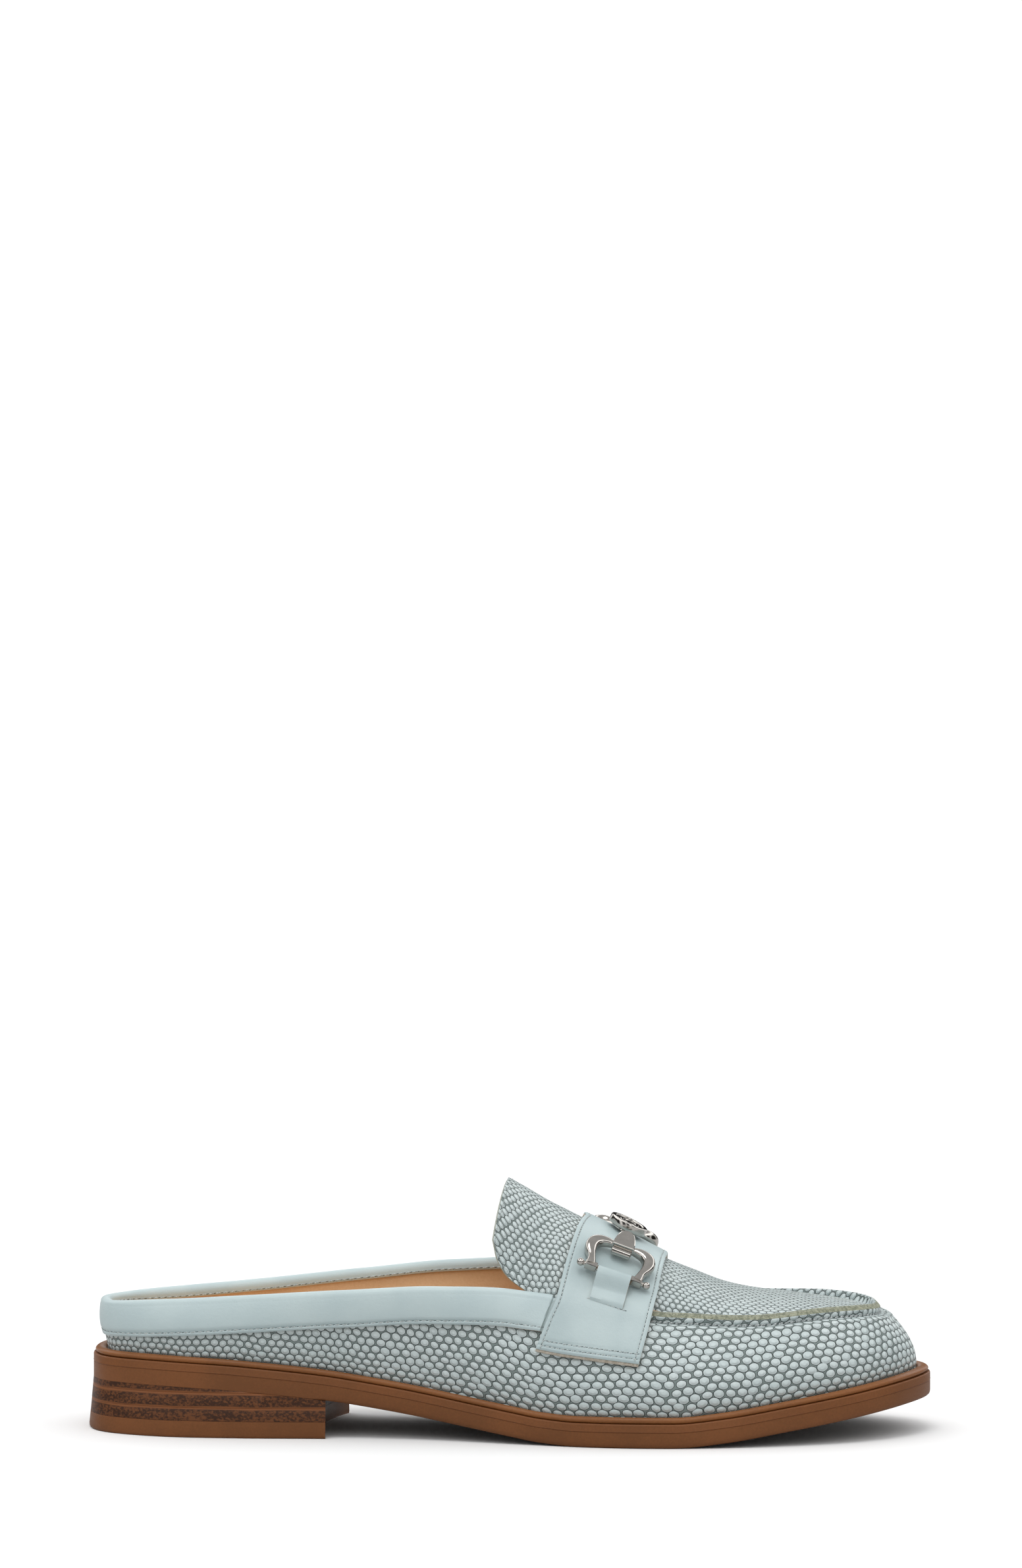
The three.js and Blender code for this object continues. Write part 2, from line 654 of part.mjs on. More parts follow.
// Sits a shape drawn in its own plane on the strap's face.
function onStrap(geometry, frame, lift) {
  const square = new THREE.Vector3().crossVectors(frame.out, frame.alongX);
  geometry.applyMatrix4(new THREE.Matrix4().makeBasis(frame.alongX, square, frame.out));
  const place = frame.point.clone().addScaledVector(frame.out, lift);
  geometry.translate(place.x, place.y, place.z);
  return indexed(geometry);
}

// Share of the way down the strap that a length on it takes.
const strapRun = saddlePaths[saddleSteps / 2].getLength() / 2;
const downBy = (length) => length / strapRun;

// Round boss at the middle of the bit, with a raised rim and a plain ring.
function medallionGeometry() {
  const r = medallionRadius;
  const h = medallionThickness;
  const profile = [
    [0, 0],
    [r * 0.82, 0],
    [r, h * 0.3],
    [r, h * 0.85],
    [r * 0.93, h],
    [r * 0.82, h],
    [r * 0.78, h * 0.84],
    [r * 0.6, h * 0.84],
    [r * 0.56, h * 0.95],
    [r * 0.42, h * 0.95],
    [r * 0.38, h * 0.84],
    [0, h * 0.84],
  ];
  const turned = new THREE.LatheGeometry(profile.map(([x, y]) => new THREE.Vector2(x, y)), 24);
  turned.rotateX(Math.PI / 2);
  return onStrap(turned, strapFrame(0), clearance);
}

// Bent rod of one half of the bit with its end blocks, end balls and clasp.
function bitGeometry(side) {
  const middle = bitDrop / 2;
  const height = (up) => (middle - up) * side;
  const left = bitArch.map((row) => new THREE.Vector3(-row.out * bitHalfSpan, height(row.up * bitDrop), 0));
  const right = [...left].reverse().map((point) => new THREE.Vector3(-point.x, point.y, 0));
  const section = new THREE.Shape().absarc(0, 0, rodRadius, 0, 2 * Math.PI);
  const rod = new THREE.ExtrudeGeometry(section, {
    steps: 16,
    curveSegments: 4,
    extrudePath: new THREE.CatmullRomCurve3([...left, ...right]),
  });
  const pieces = [rod];
  [-1, 1].forEach((end) => {
    const block = new THREE.BoxGeometry(rodRadius * 3.2, rodRadius * 1.7, rodRadius * 2.1);
    block.translate(end * bitHalfSpan, height(0), 0);
    const ball = new THREE.SphereGeometry(rodRadius * 0.95, 10, 6);
    ball.translate(end * (bitHalfSpan + rodRadius * 2.4), height(0), 0);
    pieces.push(block, ball);
  });
  const clasp = new THREE.BoxGeometry(claspLength, claspLength, rodRadius * 2.3);
  clasp.translate(0, height(bitDrop + claspLength * 0.2), 0);
  pieces.push(clasp);
  const frame = strapFrame(side * bitDown);
  const lift = rodRadius * 1.6 + clearance;
  return joined(pieces.map((piece) => onStrap(piece, frame, lift)));
}

// Leather tab from the feet of the bit down to its slit in the strap.
function tabGeometry(side) {
  const start = bitDown + downBy(bitDrop / 2 + rodRadius * 1.6);
  const band = sheet(
    2,
    6,
    (i, j) => {
      const frame = strapFrame(side * (start + (slitDown - start) * j));
      return frame.point.addScaledVector(frame.alongX, (i - 0.5) * tabWidth);
    },
    clearance * side,
    (clearance + tabThickness) * side,
  );
  return solidOf(band);
}

const colours = {
  lizard: 0xc6d4d4,
  smoothLeather: 0xc4d5d7,
  brownSole: 0x7a5032,
  stack: 0x55321e,
  suede: 0xbe915f,
  nickel: 0xb9b9b6,
};

function material(colour, roughness, metalness = 0) {
  return new THREE.MeshStandardMaterial({ color: colour, roughness, metalness });
}

function named(name, shape, surface) {
  const mesh = new THREE.Mesh(shape.isBufferGeometry ? shape : geometryFrom(shape), surface);
  mesh.name = name;
  return mesh;
}

const shoe = new THREE.Group();
const smoothLeather = material(colours.smoothLeather, 0.5);
const brownSole = material(colours.brownSole, 0.45);
const nickel = material(colours.nickel, 0.15, 1);
shoe.add(named("outsole", outsoleGeometry(), brownSole));
shoe.add(named("heel_stack", heelStackGeometry(), material(colours.stack, 0.5)));
shoe.add(named("top_lift", topLiftGeometry(), brownSole));
shoe.add(named("welt_bead", beadGeometry(), brownSole));
shoe.add(named("insole", insoleGeometry(), material(colours.suede, 0.9)));
shoe.add(named("upper", upperGeometry(), material(colours.lizard, 0.45)));
shoe.add(named("collar_band", collarGeometry(), smoothLeather));
shoe.add(named("saddle_strap", strapGeometry(), smoothLeather));
shoe.add(named("bit_medallion", medallionGeometry(), nickel));
shoe.add(named("bit_outer", bitGeometry(-1), nickel));
shoe.add(named("bit_inner", bitGeometry(1), nickel));
shoe.add(named("tab_outer", tabGeometry(-1), smoothLeather));
shoe.add(named("tab_inner", tabGeometry(1), smoothLeather));

// The origin is on the floor under the middle of the whole shoe.
const box = new THREE.Box3().setFromObject(shoe);
shoe.position.set(-(box.min.x + box.max.x) / 2, -(box.min.y + box.max.y) / 2, -box.min.z);

export default shoe;
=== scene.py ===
# A right-foot loafer mule: scale-embossed vamp with a raised toe seam and a free tongue, saddle strap
# with a two-part metal bit, smooth collar band, and a welted rubber sole on a low stacked heel.
# Shapes are worked out in millimetres from the shoe's own sizes and put into the frame in metres.
import math
import bmesh
import bpy
import numpy as np
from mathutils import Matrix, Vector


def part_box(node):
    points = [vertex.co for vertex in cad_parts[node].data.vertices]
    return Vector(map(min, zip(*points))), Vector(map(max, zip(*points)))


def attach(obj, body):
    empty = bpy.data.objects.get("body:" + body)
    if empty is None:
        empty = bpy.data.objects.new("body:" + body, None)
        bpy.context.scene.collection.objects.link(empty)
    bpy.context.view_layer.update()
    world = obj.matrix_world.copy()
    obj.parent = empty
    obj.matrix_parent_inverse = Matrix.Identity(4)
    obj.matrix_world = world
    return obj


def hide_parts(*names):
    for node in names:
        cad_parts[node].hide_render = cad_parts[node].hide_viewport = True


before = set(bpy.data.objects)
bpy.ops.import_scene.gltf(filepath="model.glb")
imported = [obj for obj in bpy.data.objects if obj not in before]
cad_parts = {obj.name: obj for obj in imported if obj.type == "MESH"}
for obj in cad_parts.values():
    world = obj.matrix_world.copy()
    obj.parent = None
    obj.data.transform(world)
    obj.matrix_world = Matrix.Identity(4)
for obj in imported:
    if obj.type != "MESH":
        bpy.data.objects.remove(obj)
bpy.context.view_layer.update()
mm = 0.001


def table(columns, *rows):
    return {name: np.array(values, float) for name, values in zip(columns.split(), zip(*rows))}


# The shoe's own sizes, in millimetres
shoe = {
    "soleLength": 267.7, "ballWidth": 93.0, "heelHeight": 16.3, "soleThickness": 7.5, "toeSpring": 11.0,
    "topHeight": 40.0, "instepHeight": 69.3, "wall": 1.8, "wallSwell": 5.0, "ledgeWidth": 3.2,
    "beadHeight": 1.9, "clearance": 0.3, "ridgeHeight": 2.4, "archAngle": 1.1,
    "toeStation": 12.0, "throatOuter": 6.48, "throatInner": 17.52, "leather": 1.0,
}

# Stations round the shoe from the heel's back along the outer side to the toe and home, as shares
stations = table(
    "along across topAlong topAcross top swell ledge",
    (0.0, 0.0, 0.011, 0.0, 0.4, 0.08, 1.45),
    (0.022, -0.21, 0.031, -0.183, 0.4, 0.15, 1.3),
    (0.098, -0.323, 0.102, -0.285, 0.435, 0.25, 1.05),
    (0.195, -0.344, 0.195, -0.312, 0.51, 0.3, 1.0),
    (0.307, -0.333, 0.307, -0.328, 0.64, 0.3, 1.0),
    (0.42, -0.36, 0.42, -0.349, 0.805, 0.35, 1.0),
    (0.532, -0.435, 0.517, -0.36, 0.915, 0.6, 1.0),
    (0.636, -0.489, 0.614, -0.349, 0.88, 0.9, 1.0),
    (0.737, -0.473, 0.707, -0.328, 0.8, 1.0, 1.0),
    (0.83, -0.403, 0.8, -0.285, 0.69, 0.9, 1.0),
    (0.913, -0.29, 0.871, -0.21, 0.64, 0.8, 1.1),
    (0.972, -0.124, 0.924, -0.091, 0.58, 0.62, 1.3),
    (1.0, 0.086, 0.941, 0.07, 0.54, 0.55, 1.4),
    (0.978, 0.296, 0.9275, 0.22, 0.58, 0.62, 1.3),
    (0.916, 0.425, 0.877, 0.333, 0.66, 0.8, 1.1),
    (0.83, 0.495, 0.8, 0.387, 0.74, 0.9, 1.0),
    (0.737, 0.516, 0.707, 0.392, 0.855, 0.9, 1.0),
    (0.636, 0.478, 0.614, 0.387, 0.96, 0.7, 1.0),
    (0.532, 0.376, 0.517, 0.371, 0.995, 0.45, 1.0),
    (0.42, 0.285, 0.42, 0.345, 0.86, 0.3, 1.0),
    (0.307, 0.305, 0.307, 0.323, 0.665, 0.3, 1.0),
    (0.195, 0.317, 0.195, 0.301, 0.505, 0.3, 1.0),
    (0.098, 0.301, 0.102, 0.274, 0.415, 0.25, 1.05),
    (0.022, 0.199, 0.031, 0.172, 0.39, 0.15, 1.3),
)
stationCount = len(stations["along"])

underside = table(
    "along heel spring",
    (0.0, 1.0, 0), (0.072, 0.988, 0), (0.162, 0.93, 0), (0.222, 0.853, 0), (0.292, 0.73, 0), (0.326, 0.65, 0),
    (0.39, 0.485, 0), (0.457, 0.29, 0), (0.513, 0.138, 0), (0.55, 0.045, 0), (0.592, 0, 0), (0.704, 0, 0),
    (0.763, 0, 0.13), (0.838, 0, 0.41), (0.912, 0, 0.69), (0.976, 0, 0.93), (1.0, 0, 1.0),
)
crestLine = table(
    "along rise",
    (0.498, 1.0), (0.52, 0.967), (0.559, 0.902), (0.583, 0.861), (0.636, 0.763), (0.685, 0.668),
    (0.717, 0.616), (0.756, 0.541), (0.795, 0.488), (0.838, 0.4415), (0.887, 0.384), (0.94, 0.32),
)
tongueFolds = ((0.489, 0.498, 0.285, 0.745), (0.494, 0.508, 0.3, 0.668), (0.506, 0.523, 0.305, 0.6),
               (0.53, 0.545, 0.308, 0.552))


def hermite(start, end, leave, arrive, t):
    rise = end - start
    return start + leave * t + (3 * rise - 2 * leave - arrive) * t**2 + (leave + arrive - 2 * rise) * t**3


# Value at a place in a table, by a smooth curve that never overshoots its rows
def smooth(rows, key, at, by="along"):
    places, values = rows[by], rows[key]
    slopes = np.diff(values) / np.diff(places)
    before, after = slopes[:-1], slopes[1:]
    both = np.where(before + after == 0, 1, before + after)
    inner = np.where(before * after > 0, 2 * before * after / both, 0)
    tangents = np.concatenate([slopes[:1], inner, slopes[-1:]])
    at = np.clip(at, places[0], places[-1])
    i = np.clip(np.searchsorted(places, at, side="right") - 1, 0, len(places) - 2)
    span = places[i + 1] - places[i]
    return hermite(values[i], values[i + 1], tangents[i] * span, tangents[i + 1] * span, (at - places[i]) / span)


def smoothstep(low, high, value):
    t = np.clip((value - low) / (high - low), 0, 1)
    return t * t * (3 - 2 * t)


# Closed curve through the stations, read by station number
def closedCurve(*columns):
    points = np.stack(columns, -1)

    def at(station):
        station = np.asarray(station, float) % len(points)
        i = station.astype(int) % len(points)
        t = (station - np.floor(station))[..., None]
        before, start, end, after = (points[(i + k) % len(points)] for k in (-1, 0, 1, 2))
        return hermite(start, end, (end - before) / 2, (after - start) / 2, t)

    return at


# Open curve through points, read from 0 to 1
def openCurve(points, t):
    points = np.asarray(points, float)
    last = len(points) - 1
    padded = np.concatenate([[2 * points[0] - points[1]], points, [2 * points[-1] - points[-2]]])
    place = np.clip(np.asarray(t, float), 0, 1) * last
    i = np.minimum(place.astype(int), last - 1)
    a, b, c, d = (padded[i + k] for k in range(4))
    ab, bc, cd = (np.sqrt(np.linalg.norm(q - p, axis=-1))[..., None] for p, q in ((a, b), (b, c), (c, d)))
    leave = ((b - a) / ab - (c - a) / (ab + bc) + (c - b) / bc) * bc
    arrive = ((c - b) / bc - (d - b) / (bc + cd) + (d - c) / cd) * bc
    return hermite(b, c, leave, arrive, (place - i)[..., None])


solePlan = closedCurve(stations["along"] * shoe["soleLength"], stations["across"] * shoe["ballWidth"])
topPlan = closedCurve(stations["topAlong"] * shoe["soleLength"], stations["topAcross"] * shoe["ballWidth"])
stationSizes = closedCurve(stations["top"] * shoe["topHeight"], stations["swell"] * shoe["wallSwell"],
                           stations["ledge"] * shoe["ledgeWidth"])


def undersideAt(x):
    share = x / shoe["soleLength"]
    return smooth(underside, "heel", share) * shoe["heelHeight"] + smooth(underside, "spring", share) * shoe["toeSpring"]


def ledgeAt(x):
    return undersideAt(x) + shoe["soleThickness"]


def crestAt(x):
    return ledgeAt(x) + smooth(crestLine, "rise", x / shoe["soleLength"]) * shoe["instepHeight"]


def point3(x, y, z):
    return np.stack(np.broadcast_arrays(x, y, z), -1)


# Outward direction of the sole's outline, level with the floor
def outward(station):
    tangent = solePlan(np.asarray(station) + 0.02) - solePlan(np.asarray(station) - 0.02)
    normal = point3(tangent[..., 1], -tangent[..., 0], 0 * tangent[..., 0])
    return normal / np.linalg.norm(normal, axis=-1, keepdims=True)


# A point of the sole's outline moved inwards, at a height above or below the ledge
def rimPoint(station, inset, above):
    station, inset, above = np.broadcast_arrays(np.asarray(station, float), inset, above)
    edge = solePlan(station)
    return point3(edge[..., 0], edge[..., 1], ledgeAt(edge[..., 0]) + above) - outward(station) * inset[..., None]


def wallRise(station):
    return stationSizes(station)[..., 0] - shoe["beadHeight"]


# The upper's outer surface: t is -1 at the foot of the wall, 0 at the bead's top and 1 at the upper edge
def wallPoint(station, t):
    station, t = np.broadcast_arrays(np.asarray(station, float), np.asarray(t, float))
    sizes = stationSizes(station)
    foot = rimPoint(station, sizes[..., 2], shoe["beadHeight"])
    plan = topPlan(station)
    top = point3(plan[..., 0], plan[..., 1], foot[..., 2] + wallRise(station))
    up = np.clip(t, 0, None)
    swell = sizes[..., 1] * np.sin(np.pi * up**0.85)
    point = foot + (top - foot) * up[..., None] + outward(station) * swell[..., None]
    point[..., 2] += np.minimum(t, 0) * (shoe["beadHeight"] - shoe["clearance"])
    return point


def seat(station):
    return wallPoint(station, 1) - outward(station) * shoe["wall"] / 2 - np.array([0, 0, shoe["ridgeHeight"]])


# Side edges and crest of the vamp plug: r is 1 at the toe, 0 at the throat and -1 at the tongue's end
def plugRows(r):
    r = np.atleast_1d(np.asarray(r, float))
    ahead = np.clip(r, 0, None)
    outer = seat(shoe["throatOuter"] + (shoe["toeStation"] - shoe["throatOuter"]) * ahead)
    inner = seat(shoe["throatInner"] - (shoe["throatInner"] - shoe["toeStation"]) * ahead)
    middle = (outer + inner) / 2
    crestX = middle[:, 0].copy()
    first, last = seat(shoe["throatOuter"]), seat(shoe["throatInner"])
    centre = (first + last) / 2
    edge = centre[0] / shoe["soleLength"]
    rise = (centre[2] - ledgeAt(centre[0])) / shoe["instepHeight"]
    folds = table("edge crest half rise", *tongueFolds, (edge, edge, (last[1] - first[1]) / 2 / shoe["ballWidth"], rise))
    folds["place"] = np.linspace(-1, 0, len(tongueFolds) + 1)
    read = {key: smooth(folds, key, r, "place") for key in ("edge", "crest", "half", "rise")}
    x = read["edge"] * shoe["soleLength"]
    z = ledgeAt(x) + read["rise"] * shoe["instepHeight"]
    half = read["half"] * shoe["ballWidth"]
    tilt = (last[2] - first[2]) / 2 * np.clip(1 + r, 0, 1) ** 2
    free = (r < 0)[:, None]
    outer = np.where(free, point3(x, centre[1] - half, z - tilt), outer)
    inner = np.where(free, point3(x, centre[1] + half, z + tilt), inner)
    return outer, inner, np.where(r < 0, read["crest"] * shoe["soleLength"], crestX)


def spreadOf(v):
    return np.sin(v * shoe["archAngle"]) / math.sin(shoe["archAngle"])


def spreadBack(spread):
    return np.arcsin(np.clip(spread, -1, 1) * math.sin(shoe["archAngle"])) / shoe["archAngle"]


def crownOf(v):
    return (np.cos(v * shoe["archAngle"]) - math.cos(shoe["archAngle"])) / (1 - math.cos(shoe["archAngle"]))


# How far the crown of the vamp stands above its edges; it dies out behind the toe seam
def crownHeight(outer, inner, crestX, r):
    return (crestAt(crestX) - (outer[..., 2] + inner[..., 2]) / 2) * (1 - 0.8 * smoothstep(0.82, 1, r))


# The vamp plug and tongue's outer surface: v runs from -1 at the outer edge to 1 at the inner edge
def plugPoint(r, v):
    r, v = np.broadcast_arrays(np.asarray(r, float), np.asarray(v, float))
    outer, inner, crestX = (part.reshape(r.shape + part.shape[1:]) for part in plugRows(r.ravel()))
    point = outer + (inner - outer) * ((spreadOf(v) + 1) / 2)[..., None]
    crown = crownOf(v)
    point[..., 0] += (crestX - point[..., 0]) * crown
    point[..., 2] += crownHeight(outer, inner, crestX, r) * crown
    return point


plugTable = np.linspace(0, 1, 600)
plugEdges = plugRows(plugTable)


# Height of the vamp plug over a place in plan, ahead of the throat
def plugHeight(x, y):
    outer, inner, crestX = plugEdges
    middle, reach = (outer + inner) / 2, (inner - outer) / 2
    side = np.zeros_like(x)
    for _ in range(14):
        lean = np.interp(x, middle[:, 0], reach[:, 0]) * side
        r = np.interp(x - lean, middle[:, 0], plugTable)
        half = np.maximum(np.interp(r, plugTable, reach[:, 1]), 0.5)
        side = np.clip((y - np.interp(r, plugTable, middle[:, 1])) / half, -1, 1)
    z = np.interp(r, plugTable, middle[:, 2]) + np.interp(r, plugTable, reach[:, 2]) * side
    crown = crownHeight(outer, inner, crestX, plugTable)
    return z + np.interp(r, plugTable, crown) * crownOf(spreadBack(side))


# Where the saddle under the strap starts and ends, and its foot on the wall there as a share of its height
saddleReach = {"start": -0.16, "end": 0.44, "startFoot": 0.6, "endFoot": 0.4, "paths": 61}


# Path across the shoe under the strap, from the outer wall over the crest to the inner wall
def saddlePath(share):
    reach = saddleReach
    r = reach["start"] + (reach["end"] - reach["start"]) * share
    foot = reach["startFoot"] + (reach["endFoot"] - reach["startFoot"]) * share
    outerStation = shoe["throatOuter"] + (shoe["toeStation"] - shoe["throatOuter"]) * r
    innerStation = shoe["throatInner"] - (shoe["throatInner"] - shoe["toeStation"]) * r
    levels = np.linspace(foot, 1, 4)
    across = np.array([-0.72, -0.5, -0.25, 0, 0.25, 0.5, 0.72])
    return np.concatenate([wallPoint(outerStation, levels), plugPoint(max(r, -0.2), across),
                           wallPoint(innerStation, levels[::-1])])


saddlePaths = [saddlePath(share) for share in np.linspace(0, 1, saddleReach["paths"])]


# A point under the strap: x along the shoe, down from -1 at the outer end over 0 to 1 at the inner end
def saddlePoint(x, down):
    x, down = np.broadcast_arrays(np.asarray(x, float), np.asarray(down, float))
    flatX, t = x.ravel(), (down.ravel() + 1) / 2
    lines = np.stack([openCurve(path, t) for path in saddlePaths])
    i = np.clip((lines[..., 0] < flatX).sum(0) - 1, 0, len(saddlePaths) - 2)
    pick = np.arange(len(flatX))
    low, high = lines[i, pick], lines[i + 1, pick]
    share = ((flatX - low[:, 0]) / (high[:, 0] - low[:, 0]))[:, None]
    return (low + (high - low) * share).reshape(x.shape + (3,))


def unit(vector):
    return vector / np.maximum(np.linalg.norm(vector, axis=-1, keepdims=True), 1e-12)


# Place in the frame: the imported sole's own corner fixes where the millimetres start
seventyTwo = solePlan(np.arange(72) / 72 * stationCount)
packedCorner = np.array(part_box("outsole")[0]) / mm
origin = np.array([packedCorner[0] - seventyTwo[:, 0].min(), packedCorner[1] - seventyTwo[:, 1].min(), 0])


def toFrame(points):
    return (np.asarray(points).reshape(-1, 3) + origin) * mm


def gridNormals(grid, closedRows=False):
    if closedRows:
        alongRows = np.roll(grid, -1, 0) - np.roll(grid, 1, 0)
    else:
        alongRows = np.gradient(grid, axis=0)
    return unit(np.cross(alongRows, np.gradient(grid, axis=1)))


# Quads over a grid of rows and columns, and the places of their corners in the grid of UVs
def gridQuads(rows, columns, closedRows=False, closedColumns=False):
    i, j = np.meshgrid(np.arange(rows if closedRows else rows - 1),
                       np.arange(columns if closedColumns else columns - 1), indexing="ij")
    i, j = i.ravel(), j.ravel()
    wide = columns + closedColumns
    corners = ((0, 0), (1, 0), (1, 1), (0, 1))
    quads = np.stack([((i + a) % rows) * columns + (j + b) % columns for a, b in corners], -1)
    spread = np.stack([(i + a) * wide + j + b for a, b in corners], -1)
    return quads, spread


# Makes a mesh object of a closed surface, faces outwards, at the origin of the frame
def makePiece(name, points, faces, materials, uvs=None, uvFaces=None, faceSlots=None, sharpAngle=38):
    mesh = bpy.data.meshes.new(name)
    mesh.from_pydata(toFrame(points).tolist(), [], [list(face) for face in faces])
    if uvs is not None:
        layer = mesh.uv_layers.new(name="scales")
        spots = np.asarray(uvs, float).reshape(-1, 2)
        order = np.concatenate([np.asarray(face) for face in (faces if uvFaces is None else uvFaces)])
        layer.data.foreach_set("uv", spots[order].astype(np.float32).ravel())
    for material in materials:
        mesh.materials.append(material)
    if faceSlots is not None:
        mesh.polygons.foreach_set("material_index", np.asarray(faceSlots, np.int32))
    edit = bmesh.new()
    edit.from_mesh(mesh)
    bmesh.ops.delete(edit, geom=[v for v in edit.verts if not v.link_faces], context="VERTS")
    bmesh.ops.dissolve_degenerate(edit, dist=1e-7, edges=edit.edges)
    if edit.calc_volume(signed=True) < 0:
        bmesh.ops.reverse_faces(edit, faces=edit.faces)
    edit.to_mesh(mesh)
    edit.free()
    mesh.shade_smooth()
    mesh.set_sharp_from_angle(angle=math.radians(sharpAngle))
    piece = bpy.data.objects.new(name, mesh)
    bpy.context.scene.collection.objects.link(piece)
    return piece


# Hangs a finished piece under the root body and hides the imported nodes it stands for
def settle(piece, slot, *nodes):
    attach(piece, "root")
    if nodes:
        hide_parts(*nodes)
    return piece


# A sheet of leather between two grids of points, closed along its free edges.
# Its materials are its face, its back and its cut edge, and then any that columnSlots gives to columns.
def makeSheet(name, face, back, materials, uvs=None, ring=False, columnSlots=None):
    rows, columns = face.shape[:2]
    quads, spread = gridQuads(rows, columns, ring)
    keys = np.round(face.reshape(-1, 3) * 2e3).astype(np.int64)
    first, same = np.unique(keys, axis=0, return_index=True, return_inverse=True)[1:]
    welded = first[same.ravel()]
    slots = np.zeros(len(quads), int)
    if columnSlots is not None:
        slots = np.broadcast_to(columnSlots, (len(quads) // (columns - 1), columns - 1)).ravel()
    faces, corners, faceSlots = [], [], []
    for quad, corner, slot in zip(welded[quads], spread, slots):
        keep = [k for k in range(4) if quad[k] != quad[k - 1]]
        if len(keep) > 2:
            faces.append(tuple(quad[keep]))
            corners.append(tuple(corner[keep]))
            faceSlots.append(slot)
    edges = {}
    for quad, corner in zip(faces, corners):
        for k in range(len(quad)):
            edges[quad[k - 1], quad[k]] = (corner[k - 1], corner[k])
    count = rows * columns
    sides = [(b, a, a + count, b + count) for a, b in edges if (b, a) not in edges]
    sideCorners = [(q, p, p, q) for (a, b), (p, q) in edges.items() if (b, a) not in edges]
    allFaces = faces + [tuple(v + count for v in reversed(quad)) for quad in faces] + sides
    allCorners = corners + [tuple(reversed(corner)) for corner in corners] + sideCorners
    allSlots = faceSlots + [1] * len(faces) + [2] * len(sides)
    points = np.concatenate([face.reshape(-1, 3), back.reshape(-1, 3)])
    return makePiece(name, points, allFaces, materials, uvs, allCorners if uvs is not None else None, allSlots)


# Rings stacked on each other, closed at both ends by strips from one side to the other
def stackRings(rings):
    rings = np.asarray(rings)
    levels, count = rings.shape[:2]
    faces = [tuple(face) for face in gridQuads(levels, count, closedColumns=True)[0]]
    for base, turn in ((0, 1), ((levels - 1) * count, -1)):
        for i in range(count // 2):
            cap = (base + i, base + (count - i) % count, base + count - i - 1, base + i + 1)
            faces.append(cap[::turn])
    return rings.reshape(-1, 3), [tuple(dict.fromkeys(int(v) for v in face)) for face in faces]


print("sizes and frame ready")


# Node tools
def addNode(tree, kind, inputs=None, **settings):
    made = tree.nodes.new(kind)
    for key, value in settings.items():
        setattr(made, key, value)
    for key, value in (inputs or {}).items():
        if isinstance(value, bpy.types.NodeSocket):
            tree.links.new(value, made.inputs[key])
        else:
            made.inputs[key].default_value = value
    return made


def doMath(tree, operation, first, second=0.0, third=0.0, clamp=False):
    inputs = {0: first, 1: second}
    if operation in ("MULTIPLY_ADD", "COMPARE", "SMOOTH_MIN"):
        inputs[2] = third
    return addNode(tree, "ShaderNodeMath", inputs, operation=operation, use_clamp=clamp).outputs[0]


def doVector(tree, operation, first, second=(0, 0, 0), output=0):
    return addNode(tree, "ShaderNodeVectorMath", {0: first, 1: second}, operation=operation).outputs[output]


def rampBetween(tree, value, low, high, start=0.0, end=1.0):
    inputs = {"Value": value, "From Min": low, "From Max": high, "To Min": start, "To Max": end}
    return addNode(tree, "ShaderNodeMapRange", inputs, interpolation_type="SMOOTHSTEP").outputs[0]


def mixColours(tree, factor, first, second, blend="MIX"):
    made = addNode(tree, "ShaderNodeMix", data_type="RGBA", blend_type=blend, clamp_factor=True)
    for socket, value in (("Factor_Float", factor), ("A_Color", first), ("B_Color", second)):
        target = next(s for s in made.inputs if s.identifier == socket)
        if isinstance(value, bpy.types.NodeSocket):
            tree.links.new(value, target)
        else:
            target.default_value = value
    return next(s for s in made.outputs if s.identifier == "Result_Color")


def makeGroup(name, inputs, outputs):
    group = bpy.data.node_groups.new(name, "ShaderNodeTree")
    for direction, sockets in (("INPUT", inputs), ("OUTPUT", outputs)):
        for label, kind, value in sockets:
            socket = group.interface.new_socket(name=label, in_out=direction, socket_type="NodeSocket" + kind)
            if value is not None:
                socket.default_value = value
    return group, group.nodes.new("NodeGroupInput").outputs, group.nodes.new("NodeGroupOutput").inputs


def colour(red, green, blue):
    return tuple((c / 255 / 12.92) if c <= 10 else ((c / 255 + 0.055) / 1.055) ** 2.4 for c in (red, green, blue)) + (1,)


def newMaterial(name, roughness, **fixed):
    material = bpy.data.materials.new(name)
    material.use_nodes = True
    tree = material.node_tree
    shader = tree.nodes["Principled BSDF"]
    shader.inputs["Roughness"].default_value = roughness
    for key, value in fixed.items():
        shader.inputs[key.replace("_", " ")].default_value = value
    return material, tree, shader


def addBump(tree, shader, height, distance, strength=1.0):
    bump = addNode(tree, "ShaderNodeBump", {"Height": height, "Distance": distance, "Strength": strength})
    tree.links.new(bump.outputs[0], shader.inputs["Normal"])
    return bump


